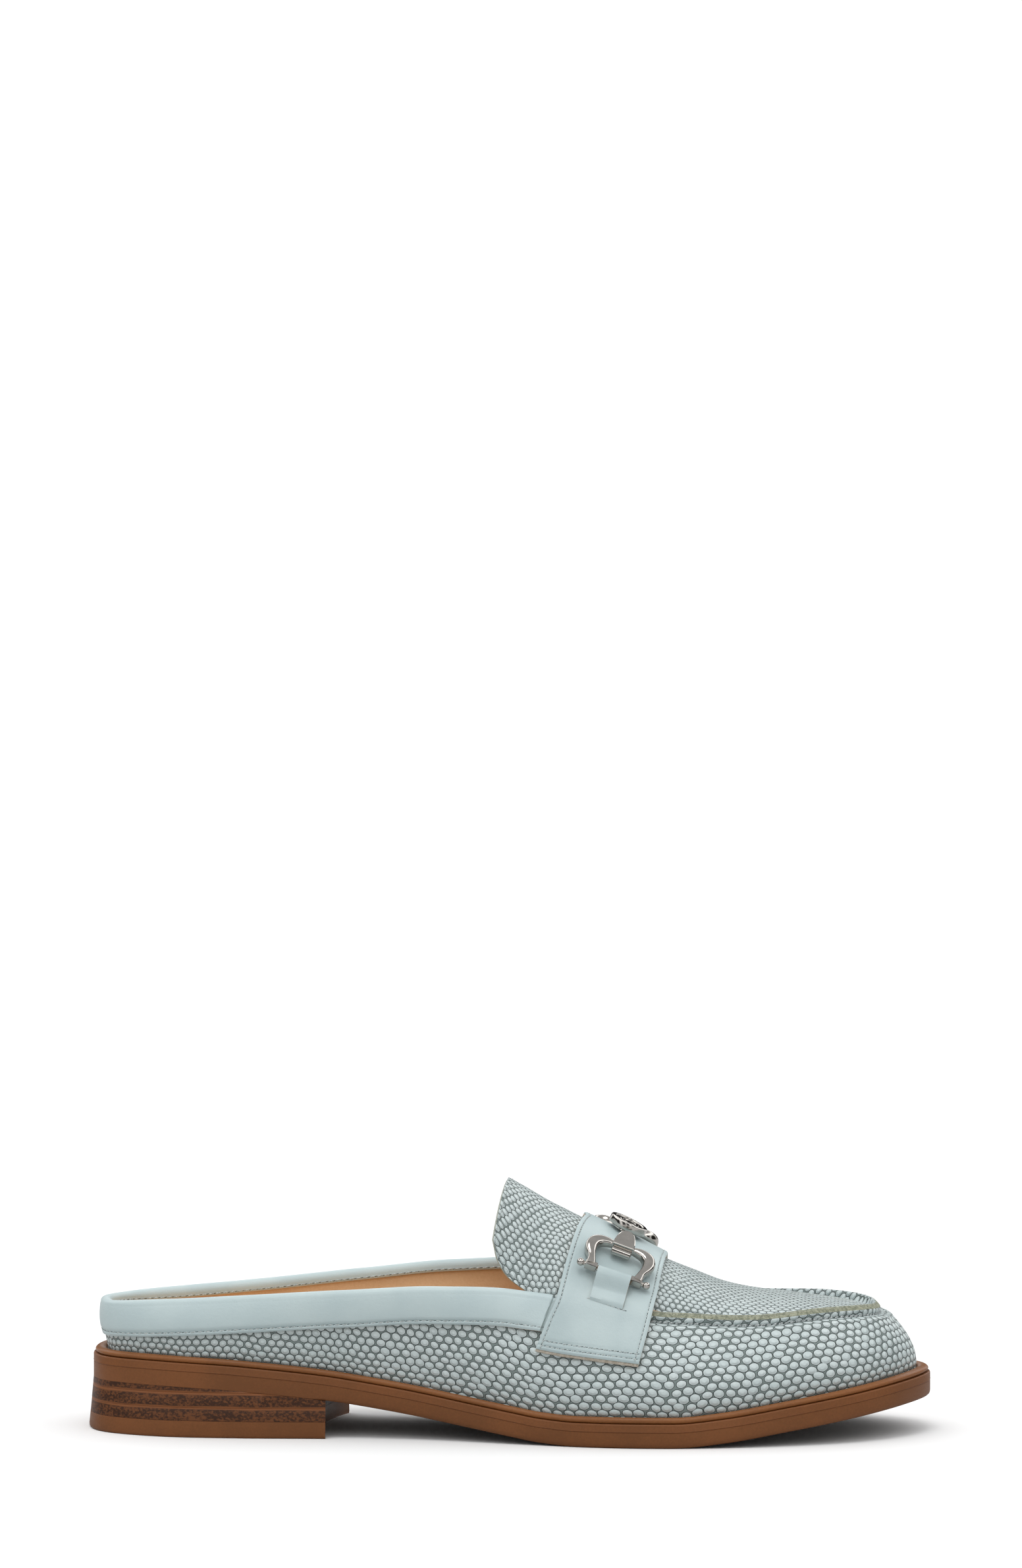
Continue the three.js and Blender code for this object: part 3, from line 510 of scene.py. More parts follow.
# Field of embossed scales on a staggered lattice: one unit along is a scale, one across is two rows
def makeScaleField():
    group, given, out = makeGroup(
        "scaleField",
        [("Vector", "Vector", None), ("Jitter", "Float", 0.1), ("Sway", "Float", 0.45), ("Squareness", "Float", 0.25)],
        [("Distance", "Float", None), ("Cell", "Float", None)],
    )
    flow = addNode(group, "ShaderNodeTexNoise", {"Vector": given["Vector"], "Scale": 0.14, "Detail": 1.0}, noise_dimensions="2D")
    wobble = addNode(group, "ShaderNodeTexNoise", {"Vector": given["Vector"], "Scale": 0.7, "Detail": 0.0}, noise_dimensions="2D")
    moved = doVector(group, "SUBTRACT", flow.outputs["Color"], (0.5, 0.5, 0.5))
    scaled = addNode(group, "ShaderNodeVectorMath", {0: moved, "Scale": given["Sway"]}, operation="SCALE").outputs[0]
    shaken = doVector(group, "SUBTRACT", wobble.outputs["Color"], (0.5, 0.5, 0.5))
    shaken = addNode(group, "ShaderNodeVectorMath", {0: shaken, "Scale": 0.13}, operation="SCALE").outputs[0]
    place = doVector(group, "ADD", doVector(group, "ADD", given["Vector"], scaled), shaken)
    found = []
    for offset in ((0, 0, 0), (0.5, 0.5, 0)):
        spot = doVector(group, "ADD", place, offset)
        cells = addNode(group, "ShaderNodeTexVoronoi", {"Vector": spot, "Scale": 1.0, "Randomness": given["Jitter"]},
                        voronoi_dimensions="2D", feature="F1")
        away = doVector(group, "MULTIPLY", doVector(group, "SUBTRACT", spot, cells.outputs["Position"]), (1, math.sqrt(3), 0))
        round_ = doVector(group, "LENGTH", away, output="Value")
        sides = [addNode(group, "ShaderNodeMath", {0: doVector(group, "DOT_PRODUCT", away, (math.cos(a), math.sin(a), 0), "Value")},
                         operation="ABSOLUTE").outputs[0] for a in (0, math.pi / 3, -math.pi / 3)]
        hexagon = doMath(group, "MAXIMUM", doMath(group, "MAXIMUM", sides[0], sides[1]), sides[2])
        mixed = doMath(group, "MULTIPLY_ADD", doMath(group, "SUBTRACT", hexagon, round_), given["Squareness"], round_)
        found.append((mixed, cells.outputs["Color"]))
    nearer = doMath(group, "LESS_THAN", found[0][0], found[1][0])
    group.links.new(doMath(group, "MINIMUM", found[0][0], found[1][0]), out["Distance"])
    cell = mixColours(group, nearer, found[1][1], found[0][1])
    group.links.new(addNode(group, "ShaderNodeSeparateColor", {0: cell}).outputs[0], out["Cell"])
    return group


# Fine pebbled leather grain with a slow drift of tone
def makeGrain():
    group, given, out = makeGroup(
        "leatherGrain", [("Vector", "Vector", None), ("Pebble", "Float", 1900.0)],
        [("Height", "Float", None), ("Tone", "Float", None)])
    pebbles = addNode(group, "ShaderNodeTexVoronoi", {"Vector": given["Vector"], "Scale": given["Pebble"], "Randomness": 1.0},
                      feature="F1", distance="EUCLIDEAN")
    soft = addNode(group, "ShaderNodeTexNoise", {"Vector": given["Vector"], "Scale": 900.0, "Detail": 4.0})
    broad = addNode(group, "ShaderNodeTexNoise", {"Vector": given["Vector"], "Scale": 70.0, "Detail": 3.0})
    low = doMath(group, "MULTIPLY_ADD", pebbles.outputs["Distance"], -0.35, soft.outputs["Fac"])
    group.links.new(doMath(group, "MULTIPLY_ADD", broad.outputs["Fac"], 0.6, low), out["Height"])
    group.links.new(broad.outputs["Fac"], out["Tone"])
    return group


def groupNode(tree, group, **inputs):
    made = tree.nodes.new("ShaderNodeGroup")
    made.node_tree = group
    for key, value in inputs.items():
        if isinstance(value, bpy.types.NodeSocket):
            tree.links.new(value, made.inputs[key])
        else:
            made.inputs[key].default_value = value
    return made.outputs


scaleField = makeScaleField()
leatherGrain = makeGrain()

lizardLook = {
    "pad": colour(214, 225, 225), "padDeep": colour(196, 209, 209), "gap": colour(122, 135, 133),
    "line": colour(38, 49, 48), "padEdge": (0.435, 0.405), "lineAt": 0.448, "lineWidth": 0.04,
}


def makeLizard():
    look = lizardLook
    material, tree, shader = newMaterial("lizardLeather", 0.42, Coat_Weight=0.12, Coat_Roughness=0.3)
    uv = addNode(tree, "ShaderNodeUVMap", uv_map="scales").outputs[0]
    body = addNode(tree, "ShaderNodeTexCoord").outputs["Object"]
    field = groupNode(tree, scaleField, Vector=uv)
    fine = addNode(tree, "ShaderNodeTexNoise", {"Vector": body, "Scale": 1500.0, "Detail": 4.0}).outputs["Fac"]
    broad = addNode(tree, "ShaderNodeTexNoise", {"Vector": body, "Scale": 45.0, "Detail": 2.0}).outputs["Fac"]
    away = doMath(tree, "MULTIPLY_ADD", doMath(tree, "SUBTRACT", field["Cell"], 0.5), 0.07, field["Distance"])
    away = doMath(tree, "MULTIPLY_ADD", doMath(tree, "SUBTRACT", fine, 0.5), 0.04, away)
    pad = rampBetween(tree, away, look["padEdge"][0], look["padEdge"][1])
    off = doMath(tree, "ABSOLUTE", doMath(tree, "SUBTRACT", away, look["lineAt"]))
    line = rampBetween(tree, off, look["lineWidth"], 0.015)
    tone = doMath(tree, "MULTIPLY_ADD", doMath(tree, "SUBTRACT", field["Cell"], 0.5), 0.6,
                  doMath(tree, "MULTIPLY_ADD", broad, 1.2, -0.1))
    ground = mixColours(tree, line, look["gap"], look["line"])
    top = mixColours(tree, doMath(tree, "ADD", tone, 0.0, clamp=True), look["padDeep"], look["pad"])
    tree.links.new(mixColours(tree, pad, ground, top), shader.inputs["Base Color"])
    tree.links.new(rampBetween(tree, pad, 0, 1, 0.62, 0.4), shader.inputs["Roughness"])
    dome = rampBetween(tree, away, 0.44, 0.12)
    height = doMath(tree, "MULTIPLY_ADD", line, -0.18, dome)
    height = doMath(tree, "MULTIPLY_ADD", fine, 0.12, height)
    addBump(tree, shader, height, 0.42 * mm, 1.0)
    return material


def makeSmoothLeather(name, tint, deep):
    material, tree, shader = newMaterial(name, 0.46, Coat_Weight=0.1, Coat_Roughness=0.35)
    body = addNode(tree, "ShaderNodeTexCoord").outputs["Object"]
    grain = groupNode(tree, leatherGrain, Vector=body)
    tree.links.new(mixColours(tree, rampBetween(tree, grain["Tone"], 0.3, 0.7), deep, tint), shader.inputs["Base Color"])
    tree.links.new(rampBetween(tree, grain["Height"], 0.2, 1.2, 0.54, 0.42), shader.inputs["Roughness"])
    addBump(tree, shader, grain["Height"], 0.09 * mm, 0.7)
    return material


def makeSuede():
    material, tree, shader = newMaterial("suedeLining", 0.92, Sheen_Weight=0.35, Sheen_Roughness=0.6)
    body = addNode(tree, "ShaderNodeTexCoord").outputs["Object"]
    nap = addNode(tree, "ShaderNodeTexNoise", {"Vector": body, "Scale": 1300.0, "Detail": 6.0}).outputs["Fac"]
    brushed = addNode(tree, "ShaderNodeTexNoise", {"Vector": body, "Scale": 60.0, "Detail": 4.0}).outputs["Fac"]
    blend = doMath(tree, "MULTIPLY_ADD", nap, 0.6, doMath(tree, "MULTIPLY_ADD", brushed, 0.7, -0.15), clamp=True)
    tree.links.new(mixColours(tree, blend, colour(212, 169, 124), colour(240, 206, 164)), shader.inputs["Base Color"])
    addBump(tree, shader, nap, 0.16 * mm, 0.8)  # short brushed nap
    return material


# Shared skin of the moulded rubber: faint flow marks along the shoe and small specks
def makeRubberSkin():
    group, given, out = makeGroup("rubberSkin", [("Vector", "Vector", None)], [("Height", "Float", None), ("Tone", "Float", None)])
    stretched = doVector(group, "MULTIPLY", given["Vector"], (0.12, 0.12, 1))
    marks = addNode(group, "ShaderNodeTexNoise", {"Vector": stretched, "Scale": 900.0, "Detail": 5.0}).outputs["Fac"]
    specks = addNode(group, "ShaderNodeTexNoise", {"Vector": given["Vector"], "Scale": 1400.0, "Detail": 2.0}).outputs["Fac"]
    broad = addNode(group, "ShaderNodeTexNoise", {"Vector": given["Vector"], "Scale": 40.0, "Detail": 3.0}).outputs["Fac"]
    group.links.new(doMath(group, "MULTIPLY_ADD", specks, 0.5, marks), out["Height"])
    group.links.new(doMath(group, "MULTIPLY_ADD", doMath(group, "SUBTRACT", specks, 0.5), 0.5, broad), out["Tone"])
    return group


rubberSkin = makeRubberSkin()


def makeRubber(name, light, dark, roughness):
    material, tree, shader = newMaterial(name, roughness, Specular_IOR_Level=0.3)
    body = addNode(tree, "ShaderNodeTexCoord").outputs["Object"]
    skin = groupNode(tree, rubberSkin, Vector=body)
    tree.links.new(mixColours(tree, rampBetween(tree, skin["Tone"], 0.3, 0.75), dark, light), shader.inputs["Base Color"])
    tree.links.new(rampBetween(tree, skin["Height"], 0.4, 1.1, roughness + 0.06, roughness - 0.04), shader.inputs["Roughness"])
    addBump(tree, shader, skin["Height"], 0.05 * mm, 0.6)
    return material


stackLook = {"bandEdges": (8.8, 9.75, 13.4, 14.5), "soft": 0.28, "plain": colour(128, 78, 43),
             "dark": colour(58, 33, 18)}


# Burnished mottle between thin plain bands, laid by height above the floor
def makeStack():
    look = stackLook
    material, tree, shader = newMaterial("stackedHeel", 0.5, Specular_IOR_Level=0.25)
    body = addNode(tree, "ShaderNodeTexCoord").outputs["Object"]
    height = addNode(tree, "ShaderNodeSeparateXYZ", {0: body}).outputs["Z"]
    flakes = addNode(tree, "ShaderNodeTexNoise", {"Vector": doVector(tree, "MULTIPLY", body, (0.7, 0.7, 1)), "Scale": 1500.0,
                                                  "Detail": 3.0, "Roughness": 0.6}).outputs["Fac"]
    smear = addNode(tree, "ShaderNodeTexNoise", {"Vector": doVector(tree, "MULTIPLY", body, (0.25, 0.25, 1)), "Scale": 320.0,
                                                 "Detail": 2.0}).outputs["Fac"]
    shifted = doMath(tree, "MULTIPLY_ADD", doMath(tree, "SUBTRACT", smear, 0.5), 0.9 * mm, height)
    low, high, upperLow, upperHigh = (edge * mm for edge in look["bandEdges"])
    soft = look["soft"] * mm
    plain = doMath(tree, "MULTIPLY", rampBetween(tree, shifted, low - soft, low + soft),
                   rampBetween(tree, shifted, high + soft, high - soft))
    upper = doMath(tree, "MULTIPLY", rampBetween(tree, shifted, upperLow - soft, upperLow + soft),
                   rampBetween(tree, shifted, upperHigh + soft, upperHigh - soft))
    bands = doMath(tree, "MAXIMUM", plain, upper)
    mottle = rampBetween(tree, doMath(tree, "MULTIPLY_ADD", smear, 0.35, flakes), 0.58, 0.82)
    clear = doMath(tree, "MAXIMUM", bands, doMath(tree, "MULTIPLY", mottle, 0.6))
    tree.links.new(mixColours(tree, clear, look["dark"], look["plain"]), shader.inputs["Base Color"])
    addBump(tree, shader, flakes, 0.06 * mm, 0.6)
    return material


def makeRawEdge(name, light, dark):
    material, tree, shader = newMaterial(name, 0.85)
    body = addNode(tree, "ShaderNodeTexCoord").outputs["Object"]
    fibre = addNode(tree, "ShaderNodeTexNoise", {"Vector": body, "Scale": 1100.0, "Detail": 5.0, "Roughness": 0.65}).outputs["Fac"]
    tree.links.new(mixColours(tree, rampBetween(tree, fibre, 0.35, 0.65), dark, light), shader.inputs["Base Color"])
    addBump(tree, shader, fibre, 0.15 * mm, 0.9)
    return material


def makeNickel():
    material, tree, shader = newMaterial("polishedNickel", 0.1, Metallic=1.0)
    body = addNode(tree, "ShaderNodeTexCoord").outputs["Object"]
    haze = addNode(tree, "ShaderNodeTexNoise", {"Vector": body, "Scale": 420.0, "Detail": 3.0}).outputs["Fac"]
    tree.links.new(mixColours(tree, haze, colour(178, 174, 169), colour(198, 194, 188)), shader.inputs["Base Color"])
    tree.links.new(rampBetween(tree, haze, 0.35, 0.7, 0.08, 0.17), shader.inputs["Roughness"])
    return material


def makeThread(name, light, dark, roughness=0.7):
    material, tree, shader = newMaterial(name, roughness)
    body = addNode(tree, "ShaderNodeTexCoord").outputs["Object"]
    twist = addNode(tree, "ShaderNodeTexNoise", {"Vector": body, "Scale": 2600.0, "Detail": 2.0}).outputs["Fac"]
    tree.links.new(mixColours(tree, rampBetween(tree, twist, 0.35, 0.65), dark, light), shader.inputs["Base Color"])
    addBump(tree, shader, twist, 0.05 * mm, 0.8)
    return material


lizard = makeLizard()
smoothLeather = makeSmoothLeather("smoothLeather", colour(192, 208, 209), colour(185, 202, 204))
strapLeather = makeSmoothLeather("strapLeather", colour(186, 202, 203), colour(175, 192, 194))
suede = makeSuede()
soleRubber = makeRubber("soleRubber", colour(126, 77, 40), colour(113, 69, 35), 0.48)
# Darker rubber on the sole's underside faces: painted shade, dark so that the floor's contact shadow comes out darker
# and less red
undersideShadeRubber = makeRubber("undersideShadeRubber", colour(74, 58, 48), colour(62, 48, 40), 0.7)
beadRubber = makeRubber("beadRubber", colour(142, 90, 48), colour(126, 79, 41), 0.4)
stackFinish = makeStack()
rawEdge = makeRawEdge("rawEdge", colour(208, 198, 184), colour(172, 161, 144))
paleEdge = makeRawEdge("paleEdge", colour(190, 196, 188), colour(150, 154, 142))
seamEdge = makeRawEdge("seamRawEdge", colour(166, 168, 146), colour(112, 117, 99))
nickel = makeNickel()
paleThread = makeThread("paleThread", colour(200, 208, 207), colour(150, 160, 159))
greyThread = makeThread("greyThread", colour(196, 202, 202), colour(120, 130, 130))
# Dark flattened balls at the needle holes: painted shade standing for the shadow inside each hole
paintedHoleShade = makeThread("paintedHoleShade", colour(100, 110, 110), colour(70, 80, 80))
print("materials ready")


heelSizes = {"length": 78.5, "breast": 5.0, "flare": 1.4, "lift": 5.2, "steps": 150}
# Outsole: rounded lower edge, upright side with a fine moulded line, flat ledge on top
outsoleSizes = {"ringSteps": 480, "lineDrop": 2.6, "rounding": 1.1, "ledgeReach": 9.0}


def makeOutsole():
    sizes = outsoleSizes
    bottom, drop, soft = -shoe["soleThickness"], -sizes["lineDrop"], sizes["rounding"]
    levels = [
        (soft * 2.2, bottom), (soft, bottom), (soft * 0.55, bottom + soft * 0.16), (soft * 0.2, bottom + soft * 0.5),
        (soft * 0.04, bottom + soft), (0, bottom + soft * 1.5), (0, drop - 0.4), (0.02, drop - 0.2), (0.12, drop - 0.1),
        (0.12, drop), (0, drop + 0.08), (-0.07, drop + 0.2), (0, drop + 0.4), (0, -0.5), (0.08, -0.2),
        (0.26, -0.05), (0.55, 0), (sizes["ledgeReach"], 0),
    ]
    station = np.arange(sizes["ringSteps"]) / sizes["ringSteps"] * stationCount
    ahead = smoothstep(heelSizes["length"] - 6, heelSizes["length"] + 8, solePlan(station)[:, 0])
    levels = [(inset * ahead if above < drop - 1 else inset, above) for inset, above in levels]
    points, faces = stackRings([rimPoint(station, inset, above) for inset, above in levels])
    # The underside faces take the darker rubber, painted shade for the floor's contact shadow
    under = [1 if k < sizes["ringSteps"] or k >= len(faces) - sizes["ringSteps"] else 0 for k in range(len(faces))]
    piece = makePiece("outsole_slab", points, faces, [soleRubber, undersideShadeRubber], faceSlots=under)
    return settle(piece, "sole_rubber", "outsole")


# Rounded bead over the joint between sole and upper
def makeBead():
    steps, turns = 480, 14
    station = (np.arange(steps) / steps * stationCount)[:, None]
    angle = np.linspace(-0.9, math.pi, turns)
    share = np.concatenate([0.45 + 0.42 * np.cos(angle), [0.0, 0.5]])
    above = np.concatenate([0.95 + 1.05 * np.sin(angle), [0.04, 0.04]])
    ledge = stationSizes(station)[..., 2]
    grid = rimPoint(station, ledge - share * ledge, above)
    quads, spread = gridQuads(steps, len(share), True, True)
    return settle(makePiece("welt_roll", grid.reshape(-1, 3), quads, [beadRubber]), "bead_rubber", "welt_bead")


# Insole board with its tan sock
def makeInsole():
    steps = 360
    station = np.arange(steps) / steps * stationCount
    inset = stationSizes(station)[..., 2] + shoe["wall"] + 0.15
    levels = [(0, 0.3), (0, 2.2), (0.25, 2.75), (0.8, 3.1), (2.0, 3.3), (6.0, 3.3)]
    points, faces = stackRings([rimPoint(station, inset + more, above) for more, above in levels])
    return settle(makePiece("sock", points, faces, [suede]), "insole_suede", "insole")


def stationWhere(x, first, last):
    spots = np.linspace(first, last, 400)
    return np.interp(x, solePlan(spots)[:, 0], spots)


# The heel's outline at one level: round the back and hollowed across its breast
def heelOutline(out, heightAt):
    sizes = heelSizes
    outer = stationWhere(sizes["length"], 0, shoe["toeStation"] / 2)
    inner = stationWhere(sizes["length"], 0, -shoe["toeStation"] / 2)
    station = np.linspace(inner, outer, sizes["steps"])
    side = rimPoint(station, -out, 0)
    share = np.linspace(0, 1, 30)[1:-1, None]
    front = side[-1] + (side[0] - side[-1]) * share
    front[:, 0] -= sizes["breast"] * (1 - (2 * share[:, 0] - 1) ** 2)
    ring = np.concatenate([side, front])
    ring[:, 2] = heightAt(ring[:, 0])
    return ring


def makeHeelPart(name, levels, material, slot, node):
    rings = np.array([heelOutline(out, heightAt) for out, heightAt in levels])
    count = rings.shape[1]
    faces = [tuple(face) for face in gridQuads(len(rings), count, closedColumns=True)[0]]
    faces += [tuple(range(count))[::-1], tuple(range((len(rings) - 1) * count, len(rings) * count))]
    return settle(makePiece(name, rings.reshape(-1, 3), faces, [material]), slot, node)


def makeHeel():
    sizes = heelSizes
    top, lift, flare = shoe["heelHeight"], sizes["lift"], sizes["flare"]
    outAt = lambda z: flare * (1 - z / top)
    flat = lambda z: (lambda x: np.minimum(z, undersideAt(x) - 0.06) + 0 * x)
    stack = [(outAt(lift), flat(lift + 0.06))]
    for groove in (0.57 * top, 0.86 * top):
        stack += [(outAt(groove), flat(groove - 0.2)), (outAt(groove) - 0.14, flat(groove)), (outAt(groove), flat(groove + 0.2))]
    stack.append((outAt(top), lambda x: undersideAt(x) - 0.05))
    makeHeelPart("heel_layers", stack, stackFinish, "heel_stack", "heel_stack")
    liftLevels = [(flare - 0.9, flat(0.0)), (flare - 0.3, flat(0.15)), (flare - 0.05, flat(0.55)), (flare, flat(1.0)),
                  (outAt(lift) + 0.05, flat(lift - 0.12)), (outAt(lift) - 0.1, flat(lift))]
    makeHeelPart("heel_lift", liftLevels, soleRubber, "lift_rubber", "top_lift")


makeOutsole()
makeBead()
makeInsole()
makeHeel()
print("sole, bead, insole and heel ready")


# Length along a line of points, from 0 at its start
def runLength(points, axis=0):
    steps = np.linalg.norm(np.diff(points, axis=axis), axis=-1)
    start = np.zeros_like(np.take(steps, [0], axis=axis))
    return np.concatenate([start, np.cumsum(steps, axis=axis)], axis=axis)


# Size of a scale along and across its rows, in millimetres, by its place along the shoe
scaleSizes = table("along long wide", (0, 2.7, 2.05), (0.3, 2.9, 2.2), (0.5, 3.4, 2.35), (0.65, 3.75, 2.4), (1, 3.4, 2.3))

# The raised toe seam on the wall's side: inset from the upper edge and drop below it
seamOutside = table("inset below", (0.62, 3.15), (0.42, 2.8), (0.15, 2.35), (0.05, 1.85), (0, 1.35), (0.08, 1.12),
                    (0.4, 0.72), (1.08, 0.05))
# and on the plug's side, with how far it leaves the plug's own surface
seamInside = table("inset above own", (1.12, 0.05, 1), (1.3, 0.18, 1), (1.55, 0.28, 1), (1.85, 0.3, 1), (2.15, 0.2, 1),
                   (2.42, -0.1, 1), (2.58, -0.75, 1), (2.72, -1.4, 1), (2.95, -1.95, 1), (3.3, -2.2, 0.62),
                   (3.9, -2.2, 0.25), (4.6, -2.2, 0.06), (5.5, -2.2, 0))
wallLook = {"steps": 560, "rows": 34, "shoulder": 4.5}


def seamShare(station):
    return (smoothstep(shoe["throatOuter"] + 0.05, shoe["throatOuter"] + 0.4, station)
            * smoothstep(shoe["throatInner"] - 0.05, shoe["throatInner"] - 0.4, station))


# Paths that the stitches follow, each with the way its thread faces
stitchLines = {"seam": [], "tongue": [], "strap": [], "collar": []}


# The line at a distance along one axis of a grid, from its start or, below 0, from its end
def lineAt(grid, normals, axis, at, keep=slice(None)):
    values = np.moveaxis(np.concatenate([grid, normals], -1), axis, 0)
    run = runLength(values[..., :3], 0)
    columns = range(*keep.indices(values.shape[1]))
    places = [at if at > 0 else run[-1, j] + at for j in columns]
    line = [[np.interp(place, run[:, j], values[:, j, k]) for k in range(6)] for j, place in zip(columns, places)]
    line = np.array(line)
    return line[:, :3], unit(line[:, 3:])


# Embossed wall of the upper with its turned-up edge round the toe
def makeWall():
    look = wallLook
    station = (np.arange(look["steps"]) / look["steps"] * stationCount)[:, None]
    n = outward(station)
    shoulder = 1 - look["shoulder"] / wallRise(station)
    below = np.broadcast_to(np.array([-1, -0.5]), (look["steps"], 2))
    low = np.concatenate([below, np.linspace(0, 1, look["rows"]) * shoulder], 1)
    extra = 4 + len(seamOutside["inset"])
    high = shoulder + (1 - shoulder) * (np.arange(extra) + 1) / extra
    top = wallPoint(station, np.ones((1, 1)))
    start = wallPoint(station, shoulder)
    crease = top - n * seamOutside["inset"][0] - np.array([0, 0, seamOutside["below"][0]])
    turn = (np.arange(4) + 1)[None, :, None] / 5 * math.pi / 2
    bulge = start + (crease - start) * (1 - np.cos(turn))
    bulge[..., 2] = (start[..., 2] + (crease[..., 2] - start[..., 2]) * np.sin(turn[..., 0]))
    strip = top - n * seamOutside["inset"][None, :, None]
    strip[..., 2] -= seamOutside["below"]
    share = seamShare(station)[..., None]
    plain = wallPoint(station, high)
    face = np.concatenate([wallPoint(station, low), plain + (np.concatenate([bulge, strip], 1) - plain) * share], 1)
    thin = shoe["leather"]
    straight = top - n * 1.08
    drop = np.linspace(look["shoulder"], 0.15, extra)
    upright = np.repeat(straight, extra, 1)
    upright[..., 2] -= drop
    backPlain = plain - n * thin
    back = np.concatenate([wallPoint(station, low) - n * thin, backPlain + (upright - backPlain) * share], 1)
    place = solePlan(station)[:, 0, 0] / shoe["soleLength"]
    middle = wallPoint(station, np.full((1, 1), 0.45))[:, 0]
    loop = np.concatenate([middle, middle[:1]])
    pitch = smooth(scaleSizes, "long", np.append(place, place[0]))
    along = np.concatenate([[0], np.cumsum(np.linalg.norm(np.diff(loop, axis=0), axis=1) / (pitch[1:] + pitch[:-1]) * 2)])
    along *= round(along[-1]) / along[-1]
    height = runLength(face, 1) / (2 * smooth(scaleSizes, "wide", place)[:, None])
    height = np.concatenate([height, height[:1]])
    uvs = np.stack([np.broadcast_to(along[:, None], height.shape), height], -1)
    slots = np.zeros(face.shape[1] - 1, int)
    slots[-2:] = 3
    crease = np.linspace(shoe["throatOuter"] + 0.3, shoe["throatInner"] - 0.3, 600)
    away = outward(crease)
    thread = wallPoint(crease, 1) - away * 0.3 - np.array([0, 0, seamOutside["below"][0] - 0.2])
    stitchLines["seam"].append((thread, unit(away + np.array([0, 0, 0.6]))))
    wall = makeSheet("wall_leather", face, back, [lizard, suede, rawEdge, seamEdge], uvs, True, slots)
    settle(wall, "lizard_leather", "upper")
    inner = np.concatenate([low[:, 1:], high[:, :-1]], 1)
    inner = np.minimum(inner, 1 - (0.6 + 3.2 * share[:, :, 0]) / wallRise(station))
    lining = [wallPoint(station, inner) - n * out for out in (thin + 0.04, shoe["wall"])]
    settle(makeSheet("wall_lining", lining[0], lining[1], [suede, suede, suede], None, True), "lining_suede")


plugLook = {"tongueRows": 44, "plugRows": 210, "columns": 25, "turn": 0.8, "long": 2.35, "wide": 1.92, "stitch": 1.3}


# Half rows of the vamp plug and tongue from their edge to the middle, round the toe and back
def plugGrid(insets, seamHeights, seamOwn, startInset, reach=1.0):
    look = plugLook
    r = np.concatenate([np.linspace(-reach, 0, look["tongueRows"]), np.linspace(0, 1, look["plugRows"])[1:]])
    side = np.concatenate([-np.ones(len(r)), np.ones(len(r) - 1)])
    r = np.concatenate([r, r[-2::-1]])
    ahead = np.clip(r, 0, None)
    station = np.where(side < 0, shoe["throatOuter"] + (shoe["toeStation"] - shoe["throatOuter"]) * ahead,
                       shoe["throatInner"] - (shoe["throatInner"] - shoe["toeStation"]) * ahead)
    outer, inner, crestX = plugRows(r)
    half = (inner[:, 1] - outer[:, 1]) / 2
    share = np.linspace(0, 1, look["columns"] + 1)[1:]
    edgeShare = np.clip(insets - startInset, 0, None) / np.maximum(half, 12)[:, None]
    fullShare = np.concatenate([edgeShare, edgeShare[:, -1:] + (1 - edgeShare[:, -1:]) * share], 1)
    v = spreadBack(1 - fullShare) * side[:, None]
    plain = plugPoint(np.minimum(r, look["turn"])[:, None], v)
    top = wallPoint(station, 1)
    n = outward(station)
    rim = top[:, None] - n[:, None] * insets[:, None]
    middleOuter, middleInner, _ = plugRows(np.minimum(r, look["turn"]))
    target = ((middleOuter + middleInner) / 2)[:, None]
    inside = rim[:, -1:] + (target - rim[:, -1:]) * share[:, None]
    formed = np.concatenate([rim, inside], 1)
    surface = plugHeight(formed[..., 0], formed[..., 1])
    own = np.concatenate([seamOwn, np.zeros(look["columns"])])
    rise = np.concatenate([seamHeights, np.zeros(look["columns"])])
    formed[..., 2] = surface + ((top[:, 2:] + rise) - surface) * own
    blend = smoothstep(0.02, 0.09, r)[:, None, None]
    return plain + (formed - plain) * blend, r, side


def crestRun(x):
    spots = np.linspace(0.47, 0.96, 400) * shoe["soleLength"]
    return np.interp(x, spots, runLength(np.stack([spots, crestAt(spots)], -1)))


